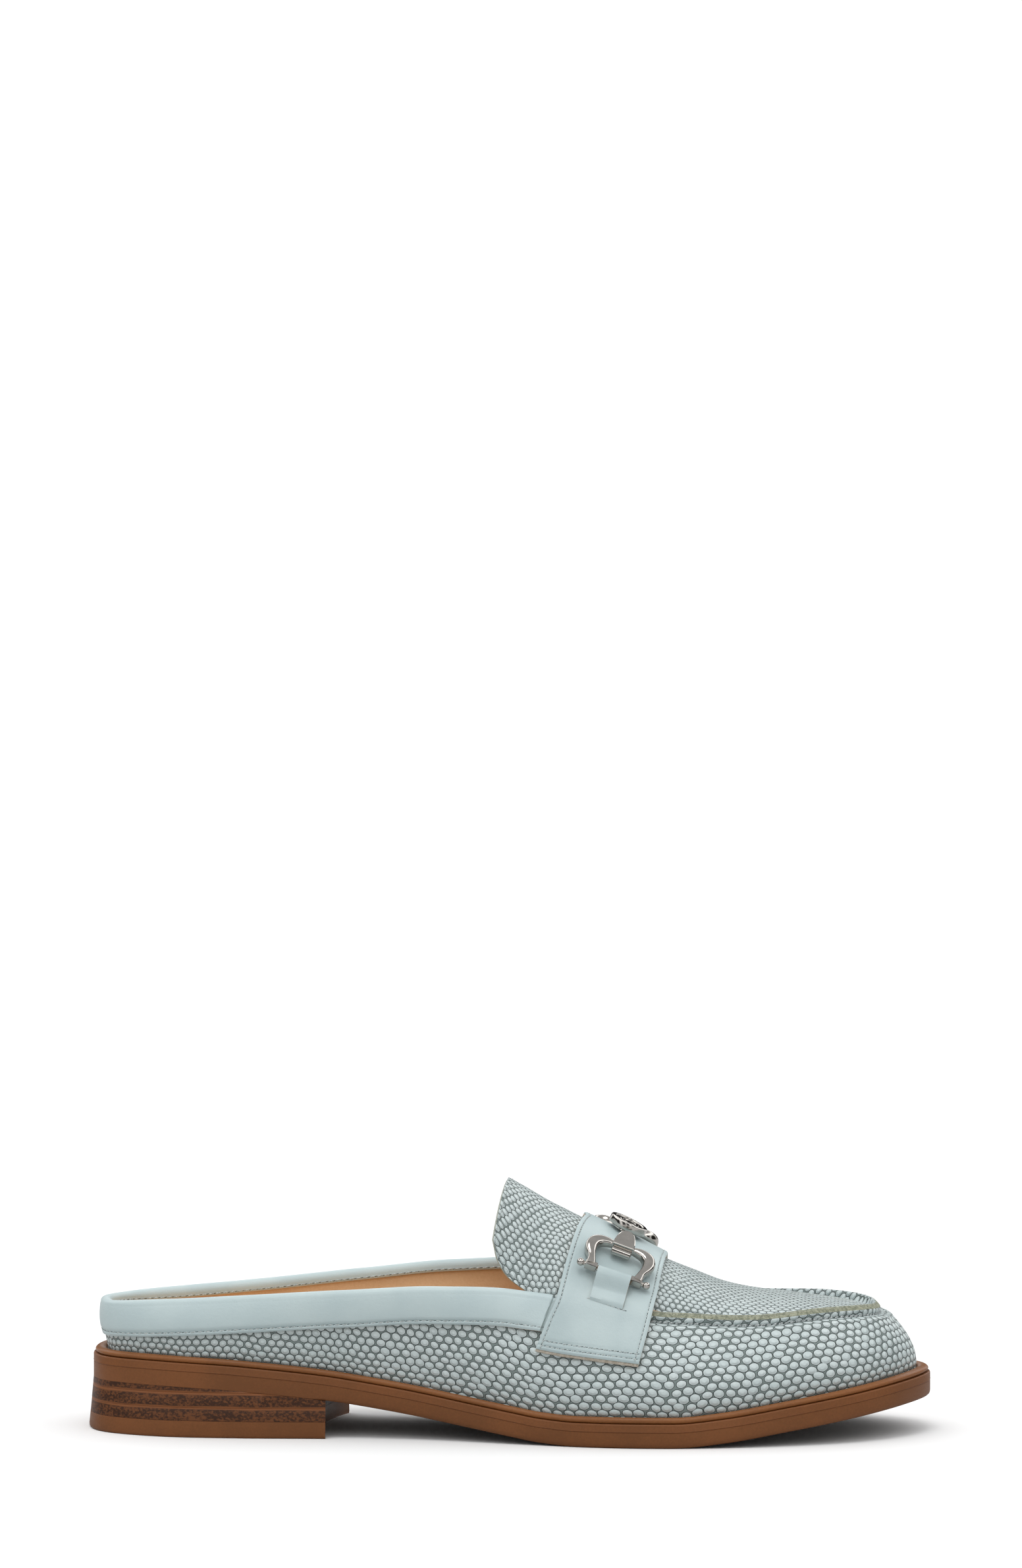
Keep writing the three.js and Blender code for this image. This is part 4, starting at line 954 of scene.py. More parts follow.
# Embossed vamp plug with the inner side of the toe seam, and the free tongue behind it
def makePlug():
    look = plugLook
    face, r, side = plugGrid(seamInside["inset"], seamInside["above"], seamInside["own"], seamInside["inset"][0])
    back = face - np.array([0, 0, shoe["leather"]])
    upright = smoothstep(0.02, 0.09, r)[:, None]
    strip = np.linspace(0.12, 3.3, 9)
    n = outward(np.where(side < 0, shoe["throatOuter"] + (shoe["toeStation"] - shoe["throatOuter"]) * np.clip(r, 0, None),
                         shoe["throatInner"] - (shoe["throatInner"] - shoe["toeStation"]) * np.clip(r, 0, None)))
    for k in range(9):
        inset = max(seamInside["inset"][k] - 1.5, 0)
        folded = face[:, 0] - n * inset
        folded[:, 2] = face[:, 0, 2] - strip[k]
        back[:, k] += (folded - back[:, k]) * upright
    normals = gridNormals(face)
    lean = (face - normals * np.sign(normals[..., 2:]) * shoe["leather"])
    back = np.where((r < 0)[:, None, None], lean, back)
    steps = np.diff(face[:, ::-1], axis=1)
    level = np.maximum(np.hypot(steps[..., 0], steps[..., 1]), 1e-6)
    across = np.abs(steps[..., 1]) * np.sqrt(1 + (steps[..., 2] / level) ** 2)
    across = np.concatenate([np.zeros((len(r), 1)), np.cumsum(across, 1)], 1)[:, ::-1] * side[:, None]
    uvs = np.stack([crestRun(face[..., 0]) / look["long"], across / (2 * look["wide"])], -1)
    slots = np.zeros((face.shape[0] - 1, face.shape[1] - 1), int)
    slots[:, :2] = np.where(r[1:, None] > 0.03, 3, 0)
    piece = makeSheet("plug_and_tongue", face, back, [lizard, suede, paleEdge, seamEdge], uvs, False, slots)
    settle(piece, "lizard_leather", "upper")
    normals = normals * np.sign(normals[..., 2:])
    free = look["tongueRows"]
    first = int(np.argmax(runLength(face[2]) > look["stitch"]))
    lines = [lineAt(face, normals, 1, look["stitch"], slice(5, free - 1)),
             lineAt(face[:free], normals[:free], 0, look["stitch"], slice(first, None)),
             lineAt(face[-free:], normals[-free:], 0, -look["stitch"], slice(first, None)),
             lineAt(face, normals, 1, look["stitch"], slice(1 - free, -5))]
    ordered = [[part[::-1] for part in lines[0]], lines[1], [part[::-1] for part in lines[2]], lines[3]]
    stitchLines["tongue"].append(tuple(np.concatenate(parts) for parts in zip(*ordered)))
    insets = np.array([1.95, 2.4, 3.0, 3.8, 4.8, 6.0])
    plain = plugGrid(insets, insets * 0, insets * 0, 1.2, 0.96)[0]
    low, high = (plain - np.array([0, 0, depth]) for depth in (shoe["leather"] + 0.04, shoe["wall"]))
    normals = gridNormals(plain)
    normals = normals * np.sign(normals[..., 2:])
    free = (r < 0.05)[:, None, None]
    low = np.where(free, plain - normals * (shoe["leather"] + 0.04), low)
    high = np.where(free, plain - normals * shoe["wall"], high)
    settle(makeSheet("plug_lining", low, high, [suede, suede, suede]), "lining_suede")


makeWall()
makePlug()
print("wall, plug and tongue ready")


# The saddle strap's back and front edges as shares of the sole's length, from its crest down to its ends
strapEdges = table("down back front", (0, 0.5885, 0.685), (0.45, 0.571, 0.68), (0.72, 0.557, 0.673),
                   (1, 0.544, 0.6635))
strapSizes = {"lift": 0.6, "flesh": 0.7, "thickness": 1.5, "stitchInset": 1.45, "secondLine": 3.2, "groove": 0.2, "fray": 0.75}


def strapEdge(key, down):
    return smooth(strapEdges, key, np.abs(down), "down") * shoe["soleLength"]


# Distances across the strap and down its length, closer together near its edges and stitch lines
def strapSteps(length, inner, fine):
    near = np.array(fine)
    return np.concatenate([near, np.linspace(near[-1], length - near[-1], inner + 2)[1:-1], length - near[::-1]])


def strapGrid():
    length = runLength(saddlePaths[25])[-1]
    edgeSteps = [0, 0.12, 0.3, 0.6, 0.95, 1.2, 1.45, 1.7, 1.95, 2.4]
    footSteps = edgeSteps + [2.7, 2.95, 3.2, 3.45, 3.7, 4.2, 5]
    down = strapSteps(length, 150, footSteps) / length * 2 - 1
    back, front = strapEdge("back", down), strapEdge("front", down)
    share = strapSteps(28.0, 16, edgeSteps) / 28.0
    x = back + (front - back) * share[:, None]
    grid = saddlePoint(x, down[None, :])
    return grid, share, down


def edgeDistance(grid, axis):
    run = runLength(grid, axis)
    last = np.take(run, [-1], axis=axis)
    return np.minimum(run, last - run)


strapFace, strapShare, strapDown = strapGrid()
strapNormals = gridNormals(strapFace)


def trough(distance, at, depth, width=0.3):
    return -depth * np.exp(-(((distance - at) / width) ** 2))


# Grain layer over a flesh layer that shows as the strap's pale cut edge
def makeStrap():
    sizes = strapSizes
    side, foot = edgeDistance(strapFace, 0), edgeDistance(strapFace, 1)
    edge = np.minimum(side, foot)
    outer = sizes["lift"] + sizes["thickness"] - 0.32 * np.exp(-((edge / 0.32) ** 2))
    outer = outer + np.minimum(trough(side, sizes["stitchInset"], sizes["groove"]),
                               np.minimum(trough(foot, sizes["stitchInset"], sizes["groove"]),
                                          trough(foot, sizes["secondLine"], sizes["groove"])))
    middle = sizes["lift"] + sizes["flesh"]
    face = strapFace + strapNormals * outer[..., None]
    under = strapFace + strapNormals * (middle + 0.02)
    settle(makeSheet("strap_grain", face, under, [strapLeather, rawEdge, strapLeather]), "strap_leather", "saddle_strap")
    for at in (sizes["stitchInset"], -sizes["stitchInset"]):
        stitchLines["strap"].append(lineAt(face, strapNormals, 0, at, slice(6, -6)))
        stitchLines["strap"].append(lineAt(face, strapNormals, 1, at, slice(6, -6)))
    for at in (sizes["secondLine"], -sizes["secondLine"]):
        stitchLines["strap"].append(lineAt(face, strapNormals, 1, at, slice(6, -6)))
    low = strapFace + strapNormals * sizes["lift"]
    high = strapFace + strapNormals * middle
    fuzz = np.random.default_rng(5).normal(0, 0.07, strapFace.shape[0])
    fuzz = sizes["fray"] + np.convolve(fuzz, np.ones(3) / 3, "same")
    for last, before in ((0, 1), (-1, -2)):
        onward = unit(strapFace[:, last] - strapFace[:, before]) * fuzz[:, None]
        low[:, last] += onward
        high[:, last] += onward * 0.8 - strapNormals[:, last] * 0.12
    settle(makeSheet("strap_flesh", high, low, [rawEdge, suede, rawEdge]), "raw_edge")


collarSizes = {"depth": 11.0, "turnIn": 1.7, "thickness": 1.4, "stitch": 1.45, "innerStitch": 0.75,
               "steps": 420, "tuck": 2.2, "heelSlim": 0.8, "heelSlimReach": 14.0}


# Place along the shoe where the strap's back edge passes a height on one side
def strapBackAt(z, side):
    down = np.linspace(0.45, 1, 40)
    edge = np.array([saddlePoint(strapEdge("back", d), side * d) for d in down])
    return np.interp(z, edge[::-1, 2], edge[::-1, 0])


# Steps along the collar, closest together at its two ends
def collarShares(steps):
    even = np.linspace(-1, 1, steps)
    return 0.5 + 0.5 * np.sign(even) * (1 - (1 - np.abs(even)) ** 1.7)


# Padded band folded over the topline, its ends tucked under the strap
def makeCollar():
    sizes = collarSizes
    seatOut = shoe["wall"] / 2 + shoe["clearance"]
    up = np.concatenate([[0, 0.02, 0.05, 0.085, 0.11, 0.135, 0.165, 0.2], np.linspace(0.25, 1, 16)])
    turn = np.linspace(0, math.pi, 11)[1:-1]
    down = np.linspace(0, 1, 8)

    def path(station):
        station = station[:, None]
        n = outward(station)
        height = wallRise(station)
        foot = 1 - (sizes["depth"] - sizes["thickness"]) / height
        outside = wallPoint(station, foot + (1 - foot) * up) + n * shoe["clearance"]
        top = wallPoint(station, np.ones((1, 1))) - n * shoe["wall"] / 2
        over = top + n * (seatOut * np.cos(turn))[None, :, None]
        over = over + np.stack([0 * turn, 0 * turn, 0.25 + 0.5 * np.sin(turn)], -1)
        room = smoothstep(-0.1, 0.9, np.minimum(shoe["throatOuter"] - station, station + stationCount - shoe["throatInner"]))
        inside = wallPoint(station, 1 - down * (0.7 + (sizes["turnIn"] - 0.7) * room) / height)
        inside = inside - n * (shoe["wall"] + shoe["clearance"] * 1.5)
        return np.concatenate([outside, over, inside], 1)

    coarse = np.linspace(shoe["throatInner"] - stationCount - 1.6, shoe["throatOuter"] + 1.6, 700)
    lines = path(coarse)
    columns = lines.shape[1]
    ahead = np.stack([strapBackAt(lines[..., 2], side) for side in (1, -1)])
    left = lines[..., 0] - ahead[0]
    right = lines[..., 0] - ahead[1]
    half = len(coarse) // 2
    grid = np.zeros((sizes["steps"], columns, 3))
    behind = np.zeros((sizes["steps"], columns))
    for k in range(columns):
        start = np.interp(-sizes["tuck"], -left[:half, k], coarse[:half])
        end = np.interp(sizes["tuck"], right[half:, k], coarse[half:])
        at = start + (end - start) * collarShares(sizes["steps"])
        for axis in range(3):
            grid[:, k, axis] = np.interp(at, coarse, lines[:, k, axis])
        behind[:, k] = np.minimum(-np.interp(at, coarse, left[:, k]), -np.interp(at, coarse, right[:, k]))
    normals = gridNormals(grid)
    run = runLength(grid, 1)
    toEdge = np.minimum(run, run[:, -1:] - run)
    plump = sizes["thickness"] - 0.15 + 0.5 * np.sin(np.clip(run / run[:, len(up) - 1:len(up)], 0, 1) * math.pi) ** 0.7
    plump = plump - 0.45 * np.exp(-((toEdge / 0.35) ** 2)) + trough(run, sizes["stitch"], 0.45, 0.4)
    plump = plump - sizes["heelSlim"] * np.exp(-((grid[..., 0] / sizes["heelSlimReach"]) ** 2))
    plump = np.maximum(plump, 0.5)
    plump = plump - (plump - 1.15) * 0.8 * smoothstep(9, 0.5, behind) * (plump > 1.15)
    plump = 0.22 + (plump - 0.22) * smoothstep(-0.12, 0.22, behind)
    face = grid + normals * plump[..., None]
    for at, column in ((sizes["stitch"], 4), (-sizes["innerStitch"], -4)):
        clear = np.flatnonzero(behind[:, column] > 0.4)
        stitchLines["collar"].append(lineAt(face, normals, 1, at, slice(clear[0], clear[-1])))
    settle(makeSheet("collar_leather", face, grid, [smoothLeather, smoothLeather, rawEdge]), "smooth_leather", "collar_band")


makeStrap()
makeCollar()
print("strap and collar ready")


# Frames on the middle line of the strap's outer face: place, outward direction, way along the shoe
# square to the strap's length but for the bit's turn, and way down its inner side
def strapFrames(down):
    down = np.asarray(down, float)

    def at(across, place):
        back, front = strapEdge("back", place), strapEdge("front", place)
        return saddlePoint(back + (front - back) * across, place)

    forward = at(0.53, down) - at(0.51, down)
    across = unit(at(0.52, down + 0.01) - at(0.52, down - 0.01))
    out = unit(np.cross(forward, across))
    point = at(0.52, down) + out * (strapSizes["lift"] + strapSizes["thickness"])
    turn = (np.sign(down) * bitSizes["turn"])[..., None]
    along = unit(np.cross(across, out))
    along = along * np.cos(turn) + np.cross(out, along) * np.sin(turn)
    return point, out, along, np.cross(out, along)


bitSizes = {"down": 0.35, "slit": 0.565, "turn": math.radians(5), "middle": 5.5, "rise": 11.8, "rod": 1.25,
            "medallionRadius": 6.3, "medallionThickness": 2.8, "back": 1.6, "capBend": 0.03,
            "farCapBend": 0.055}
# Bent rod of one side of a bit half from its foot to the clasp, in millimetres in its own plane:
# out from the middle line, up towards the crest, half width in the plane, half height off the strap
bitRod = table("out up half deep", (7.75, -0.2, 1.5, 1.6), (7.95, 1.2, 1.45, 1.6), (8.15, 2.5, 1.25, 1.55),
               (8.6, 4.1, 1.3, 1.5), (9.3, 6.0, 1.75, 1.7), (9.55, 8.0, 2.0, 1.85), (8.9, 10.0, 2.0, 1.85),
               (7.2, 11.4, 1.75, 1.7), (5.0, 11.9, 1.35, 1.5), (3.6, 11.9, 1.05, 1.3), (2.4, 11.8, 1.0, 1.2))


class Shells:
    def __init__(self):
        self.points = []
        self.faces = []

    def add(self, points, faces):
        base = sum(len(part) for part in self.points)
        self.points.append(np.asarray(points, float).reshape(-1, 3))
        self.faces += [tuple(int(v) + base for v in face) for face in faces]

    # The bend leans whatever lies past the rods towards the strap, and back moves all towards the heel
    def placed(self, frameAt, side, lift, bend=0.0, start=0.0, back=0.0):
        point, out, along, square = frameAt
        local = np.concatenate(self.points) - np.array([back, 0, 0])
        local[:, 2] -= bend * np.clip(local[:, 1] - start, 0, None) ** 2
        up = -side * local[:, 1:2]
        return point + along * local[:, :1] + square * up + out * (local[:, 2:] + lift)


# A tube whose flattened, softly bevelled section changes along a line in its own plane
def bevelledTube(centre, half, deep, turns=20, power=0.62):
    tangent = unit(np.gradient(centre, axis=0))
    sideways = np.stack([-tangent[:, 1], tangent[:, 0], 0 * tangent[:, 0]], -1)
    angle = np.arange(turns) / turns * 2 * math.pi
    wide = np.sign(np.cos(angle)) * np.abs(np.cos(angle)) ** power
    tall = np.sign(np.sin(angle)) * np.abs(np.sin(angle)) ** power
    grid = centre[:, None] + sideways[:, None] * (half[:, None] * wide)[..., None]
    grid = grid + np.array([0, 0, 1]) * (deep[:, None] * tall)[..., None]
    faces = [tuple(face) for face in gridQuads(len(centre), turns, closedColumns=True)[0]]
    ends = [tuple(range(turns))[::-1], tuple(range((len(centre) - 1) * turns, len(centre) * turns))]
    return grid.reshape(-1, 3), faces + ends


# A block with softened edges
def softBlock(low, high, bevel):
    edit = bmesh.new()
    bmesh.ops.create_cube(edit, size=1.0)
    low, high = np.array(low), np.array(high)
    for v in edit.verts:
        v.co = tuple((low + high) / 2 + np.array(v.co) * (high - low))
    bmesh.ops.bevel(edit, geom=edit.edges, offset=bevel, segments=3, profile=0.6, affect="EDGES")
    edit.verts.index_update()
    points = [tuple(v.co) for v in edit.verts]
    faces = [tuple(v.index for v in face.verts) for face in edit.faces]
    edit.free()
    return points, faces


# A turned shape: a profile of radii and heights round an axis through a place
def turned(profile, centre, axis, turns=48):
    axis = unit(np.array(axis, float))
    aside = unit(np.cross(axis, [0.3, 0.5, 0.8]))
    other = np.cross(axis, aside)
    angle = (np.arange(turns) / turns * 2 * math.pi)[:, None]
    ring = aside * np.cos(angle) + other * np.sin(angle)
    grid = np.array([centre + axis * height + ring * max(radius, 0.004) for radius, height in profile])
    faces = [tuple(face) for face in gridQuads(len(profile), turns, closedColumns=True)[0]]
    last = (len(profile) - 1) * turns
    return grid.reshape(-1, 3), faces + [tuple(range(turns))[::-1], tuple(range(last, last + turns))]


def ballProfile(radius, steps=12):
    angles = np.linspace(-math.pi / 2, math.pi / 2, steps)
    return [(radius * math.cos(a), radius * math.sin(a)) for a in angles]


# An outline in its plane as a plate with a bevelled upper edge
def bevelledPlate(outline, low, high, bevel):
    outline = np.asarray(outline, float)
    ahead = unit(np.roll(outline, -1, 0) - np.roll(outline, 1, 0))
    inward = np.stack([-ahead[:, 1], ahead[:, 0]], -1)
    rings = []
    for inset, height in ((0, low), (0, high - bevel), (bevel * 0.3, high - bevel * 0.3), (bevel, high)):
        rings.append(np.column_stack([outline + inward * inset, np.full(len(outline), height)]))
    count = len(outline)
    faces = [tuple(face) for face in gridQuads(4, count, closedColumns=True)[0]]
    return np.concatenate(rings), faces + [tuple(range(count))[::-1], tuple(range(3 * count, 4 * count))]


def polished(name, points, shells, node):
    piece = makePiece(name, points, shells.faces, [nickel], sharpAngle=30)
    edit = bmesh.new()
    edit.from_mesh(piece.data)
    bmesh.ops.recalc_face_normals(edit, faces=edit.faces)
    edit.to_mesh(piece.data)
    edit.free()
    return settle(piece, "nickel", node)


# One half of the bit: two bent rods with feet and end balls, and the clasp between them
def makeBitHalf(name, side, node):
    sizes = bitSizes
    middle = sizes["middle"]
    shells = Shells()
    steps = np.linspace(0, 1, 46)
    rod = openCurve(np.stack([bitRod["out"], bitRod["up"], bitRod["half"], bitRod["deep"]], -1), steps)
    for end in (-1, 1):
        centre = np.stack([end * rod[:, 0], rod[:, 1] - middle, 0 * rod[:, 0]], -1)
        shells.add(*bevelledTube(centre, rod[:, 2], rod[:, 3]))
        low, high = sorted((end * 5.6, end * 9.4))
        shells.add(*softBlock((low, -1.35 - middle, -1.3), (high, 0.75 - middle, 1.25), 0.32))
        neck = [(0.0, 9.1), (0.75, 9.1), (0.72, 9.8), (0.9, 10.1), (0.0, 10.1)]
        axis = (end, 0, 0)
        shells.add(*turned(neck, np.array([0, -0.35 - middle, 0]), axis, 24))
        shells.add(*turned(ballProfile(1.25), np.array([end * 10.9, -0.35 - middle, 0]), axis, 28))
        stub = [(0.0, 4.4), (0.85, 4.4), (1.0, 4.65), (1.0, 5.3), (0.8, 5.6), (0.8, 6.0), (0.0, 6.0)]
        shells.add(*turned(stub, np.array([0, -0.35 - middle, 0]), axis, 24))
    top = sizes["rise"]
    turn = np.linspace(0, math.pi, 25)
    flank = openCurve([(3.5, 0.4), (3.15, 2.4), (2.65, 4.4), (1.9, 6.3), (0.9, 7.3), (0, 7.5)], turn / math.pi)
    outline = [(3.5, -1.4)] + [(x, y) for x, y in flank] + [(-x, y) for x, y in flank[-2::-1]] + [(-3.5, -1.4)]
    outline = [(x, y + top - middle) for x, y in outline]
    shells.add(*bevelledPlate(outline, 1.0, 2.35, 0.35))
    shells.add(*softBlock((-3.35, top - 1.2 - middle, -1.25), (3.35, top + 1.6 - middle, 1.5), 0.3))
    barrel = [(0.0, -3.1), (1.25, -3.1), (1.45, -2.9), (1.45, 2.9), (1.25, 3.1), (0.0, 3.1)]
    shells.add(*turned(barrel, np.array([0, top - 2.2 - middle, -0.1]), (1, 0, 0), 32))
    frameAt = strapFrames(side * sizes["down"])
    lift = sizes["rod"] * 1.6 + shoe["clearance"]
    back, bend = (sizes["back"], sizes["farCapBend"]) if side > 0 else (0, sizes["capBend"])
    points = shells.placed(frameAt, side, lift, bend, sizes["rise"] - middle, back)
    polished(name, points, shells, node)


# Round boss at the crest with a raised rim and a plain ring
def makeMedallion():
    sizes = bitSizes
    r, h = sizes["medallionRadius"], sizes["medallionThickness"]
    profile = [(0, -0.7), (r * 0.6, -0.7), (r * 0.6, 0), (r * 0.86, 0), (r * 0.97, h * 0.1), (r, h * 0.22), (r, h * 0.86), (r * 0.985, h * 0.95),
               (r * 0.94, h), (r * 0.8, h), (r * 0.775, h * 0.97), (r * 0.765, h * 0.9), (r * 0.74, h * 0.87),
               (r * 0.52, h * 0.87), (r * 0.505, h * 0.89), (r * 0.49, h * 0.93), (r * 0.36, h * 0.93),
               (r * 0.345, h * 0.89), (r * 0.33, h * 0.87), (0, h * 0.87)]
    shells = Shells()
    shells.add(*turned(profile, np.zeros(3), (0, 0, 1), 96))
    frameAt = strapFrames(0.0)
    points = shells.placed(frameAt, 1, shoe["clearance"] + 0.8, back=sizes["back"])
    polished("medallion_disc", points, shells, "bit_medallion")


tabSizes = {"width": 10.8, "thickness": 0.85, "barHeight": 2.3, "barRadius": 0.95}


# Leather tab: up out of its slit in the strap, round the bar of the bit and back under itself
def makeTab(name, side, node):
    sizes, bit = tabSizes, bitSizes
    run = runLength(saddlePaths[30])[-1] / 2
    bar = bit["down"] + (bit["middle"] + 0.35) / run
    radius, height = sizes["barRadius"], sizes["barHeight"]
    turn = np.linspace(math.pi / 2 + 0.35, -math.pi / 2 - 0.2, 13)
    flat = np.linspace(1, 0, 24)[:-1]
    fall = 0.12 + (height + radius - 0.12) * smoothstep(0.62, 0.04, flat)
    upper = [(bar + (bit["slit"] - bar) * f, lift) for f, lift in zip(flat, fall)]
    loop = [(bar - radius * math.cos(a) / run, height + radius * math.sin(a)) for a in turn]
    under = [(bar + (bit["slit"] - bar) * f, 0.08 + (height - radius - 0.3) * (1 - f / 0.45) ** 2)
             for f in np.linspace(0.08, 0.45, 8)]
    line = [(bit["slit"] + 0.5 / run, -0.5)] + upper + loop + under
    down, lift = (np.array(column) for column in zip(*line))
    across = np.linspace(-0.5, 0.5, 15)[None, :, None] * sizes["width"]
    point, out, along, _ = strapFrames(side * down)
    low = (point + out * lift[:, None])[:, None] + along[:, None] * across
    normals = gridNormals(low)
    normals = normals * np.sign((normals[10, 7] * out[10]).sum())
    high = low + normals * sizes["thickness"]
    settle(makeSheet(name, high, low, [strapLeather, rawEdge, rawEdge]), "strap_leather", node)
    slit, slitOut, slitAlong, _ = strapFrames(side * (bit["slit"] + 0.95 / run))
    reach = np.linspace(-0.54, 0.54, 14)[:, None] * sizes["width"]
    stitchLines["strap"].append((slit + slitAlong * reach, np.repeat(slitOut[None], 14, 0)))


makeBitHalf("bit_half_outer", -1, "bit_outer")
makeBitHalf("bit_half_inner", 1, "bit_inner")
makeMedallion()
makeTab("tab_strip_outer", -1, "tab_outer")
makeTab("tab_strip_inner", 1, "tab_inner")
print("bit, medallion and tabs ready")


# Stitches on a path: a thread on each pitch, lying a little askew, and a dark needle hole between threads, its darkness
# painted shade
def makeStitchTree():
    tree = bpy.data.node_groups.new("stitchRow", "GeometryNodeTree")
    sockets = [("Path", "Geometry"), ("Pitch", "Float"), ("Length", "Float"), ("Radius", "Float"), ("Slant", "Float"),
               ("Hole Length", "Float"), ("Hole Width", "Float"), ("Thread", "Material"), ("Hole", "Material")]
    for label, kind in sockets:
        tree.interface.new_socket(name=label, in_out="INPUT", socket_type="NodeSocket" + kind)
    tree.interface.new_socket(name="Stitches", in_out="OUTPUT", socket_type="NodeSocketGeometry")
    given = tree.nodes.new("NodeGroupInput").outputs
    out = tree.nodes.new("NodeGroupOutput").inputs

    def shape(long, wide, tall, shift, material):
        ball = addNode(tree, "GeometryNodeMeshUVSphere", {"Segments": 8, "Rings": 6, "Radius": 1.0})
        scale = addNode(tree, "ShaderNodeCombineXYZ", {0: long, 1: wide, 2: tall}).outputs[0]
        turn = addNode(tree, "ShaderNodeCombineXYZ", {2: given["Slant"]}).outputs[0]
        turn = addNode(tree, "FunctionNodeEulerToRotation", {0: turn}).outputs[0]
        place = addNode(tree, "ShaderNodeCombineXYZ", {0: shift}).outputs[0]
        formed = addNode(tree, "GeometryNodeTransform", {"Geometry": ball.outputs["Mesh"], "Translation": place,
                                                         "Rotation": turn, "Scale": scale}).outputs[0]
        painted = addNode(tree, "GeometryNodeSetMaterial", {"Geometry": formed, "Material": material}).outputs[0]
        return addNode(tree, "GeometryNodeSetShadeSmooth", {"Geometry": painted}).outputs[0]

    half = doMath(tree, "MULTIPLY", given["Length"], 0.5)
    thread = shape(half, given["Radius"], given["Radius"], 0.0, given["Thread"])
    between = doMath(tree, "MULTIPLY", given["Pitch"], 0.5)
    # The hole: a dark flattened ball, painted shade in the needle hole
    hole = shape(doMath(tree, "MULTIPLY", given["Hole Length"], 0.5), doMath(tree, "MULTIPLY", given["Hole Width"], 0.5),
                 doMath(tree, "MULTIPLY", given["Radius"], 0.35), between, given["Hole"])
    both = addNode(tree, "GeometryNodeJoinGeometry")
    tree.links.new(hole, both.inputs[0])
    tree.links.new(thread, both.inputs[0])
    curve = addNode(tree, "GeometryNodeMeshToCurve", {0: given["Path"]}).outputs[0]
    spaced = addNode(tree, "GeometryNodeResampleCurve", {"Curve": curve, "Length": given["Pitch"]}, mode="LENGTH").outputs[0]
    facing = addNode(tree, "GeometryNodeInputNamedAttribute", {"Name": "facing"}, data_type="FLOAT_VECTOR").outputs[0]
    tangent = addNode(tree, "GeometryNodeInputTangent").outputs[0]
    turned = addNode(tree, "FunctionNodeAxesToRotation", {0: facing, 1: tangent}, primary_axis="Z", secondary_axis="X")
    size = addNode(tree, "FunctionNodeRandomValue", {"Seed": 7}, data_type="FLOAT")
    for socket, value in (("Min_001", 0.88), ("Max_001", 1.1)):
        next(s for s in size.inputs if s.identifier == socket).default_value = value
    chosen = next(s for s in size.outputs if s.identifier == "Value_001")
    placed = addNode(tree, "GeometryNodeInstanceOnPoints", {"Points": spaced, "Instance": both.outputs[0],
                                                            "Rotation": turned.outputs[0], "Scale": chosen}).outputs[0]
    real = addNode(tree, "GeometryNodeRealizeInstances", {0: placed}).outputs[0]
    tree.links.new(real, out[0])
    return tree


stitchTree = makeStitchTree()
stitchLook = {
    "strap": {"Pitch": 1.55, "Length": 1.1, "Radius": 0.22, "Slant": 0.3, "Hole Length": 0.75, "Hole Width": 0.3},
    "collar": {"Pitch": 2.3, "Length": 1.65, "Radius": 0.24, "Slant": 0.16, "Hole Length": 0.95, "Hole Width": 0.28},
    "tongue": {"Pitch": 2.2, "Length": 1.9, "Radius": 0.17, "Slant": 0.1, "Hole Length": 0.4, "Hole Width": 0.25},
    "seam": {"Pitch": 1.9, "Length": 2.1, "Radius": 0.45, "Slant": 0.4, "Hole Length": 0.9, "Hole Width": 0.6},
}


def makeStitches(kind, thread):
    lines = stitchLines[kind]
    starts = np.cumsum([0] + [len(points) for points, _ in lines])
    edges = [(int(start) + k, int(start) + k + 1) for start, (points, _) in zip(starts, lines) for k in range(len(points) - 1)]
    mesh = bpy.data.meshes.new("stitch_" + kind)
    mesh.from_pydata(toFrame(np.concatenate([points for points, _ in lines])).tolist(), edges, [])
    facings = np.concatenate([facing for _, facing in lines])
    mesh.attributes.new("facing", "FLOAT_VECTOR", "POINT").data.foreach_set("vector", facings.astype(np.float32).ravel())
    piece = bpy.data.objects.new("stitch_" + kind, mesh)
    bpy.context.scene.collection.objects.link(piece)
    modifier = piece.modifiers.new("stitches", "NODES")
    modifier.node_group = stitchTree
    look = {key: value * (1 if key == "Slant" else mm) for key, value in stitchLook[kind].items()}
    look.update({"Thread": thread, "Hole": paintedHoleShade})
    for socket in stitchTree.interface.items_tree:
        if socket.name in look:
            modifier[socket.identifier] = look[socket.name]
    plain = bpy.data.meshes.new_from_object(piece.evaluated_get(bpy.context.evaluated_depsgraph_get()))
    piece.modifiers.remove(modifier)
    piece.data = plain
    settle(piece, "thread")


makeStitches("strap", paleThread)
makeStitches("collar", paleThread)
makeStitches("tongue", paleThread)
makeStitches("seam", greyThread)
print("stitches ready")


# Camera at the photograph's angle: level, five degrees ahead of the shoe's side
cameraLook = {"distance": 1500.0, "angle": 5.0, "height": 205.5, "lens": 107.8, "aimAlong": 1.1, "aimAcross": -1.2}


def makeCamera():
    look = cameraLook
    turn = math.radians(look["angle"])
    camera = bpy.data.objects.new("camera", bpy.data.cameras.new("camera"))
    camera.data.lens = look["lens"]
    camera.data.clip_end = 20
    camera.location = ((look["aimAlong"] + look["distance"] * math.sin(turn)) * mm,
                       (look["aimAcross"] - look["distance"] * math.cos(turn)) * mm, look["height"] * mm)
    camera.rotation_euler = (math.pi / 2, 0, turn)
    bpy.context.scene.collection.objects.link(camera)
    bpy.context.scene.camera = camera


studioLook = {"floorSize": 30.0, "floorTint": 0.93, "floorBounce": 0.58,"backdrop": 1.15, "skyLow": 0.22, "skyHigh": 1.18,
              "sunStrength": 0.6, "sunWidth": 24.0, "sunTilt": (14, -3, 0)}


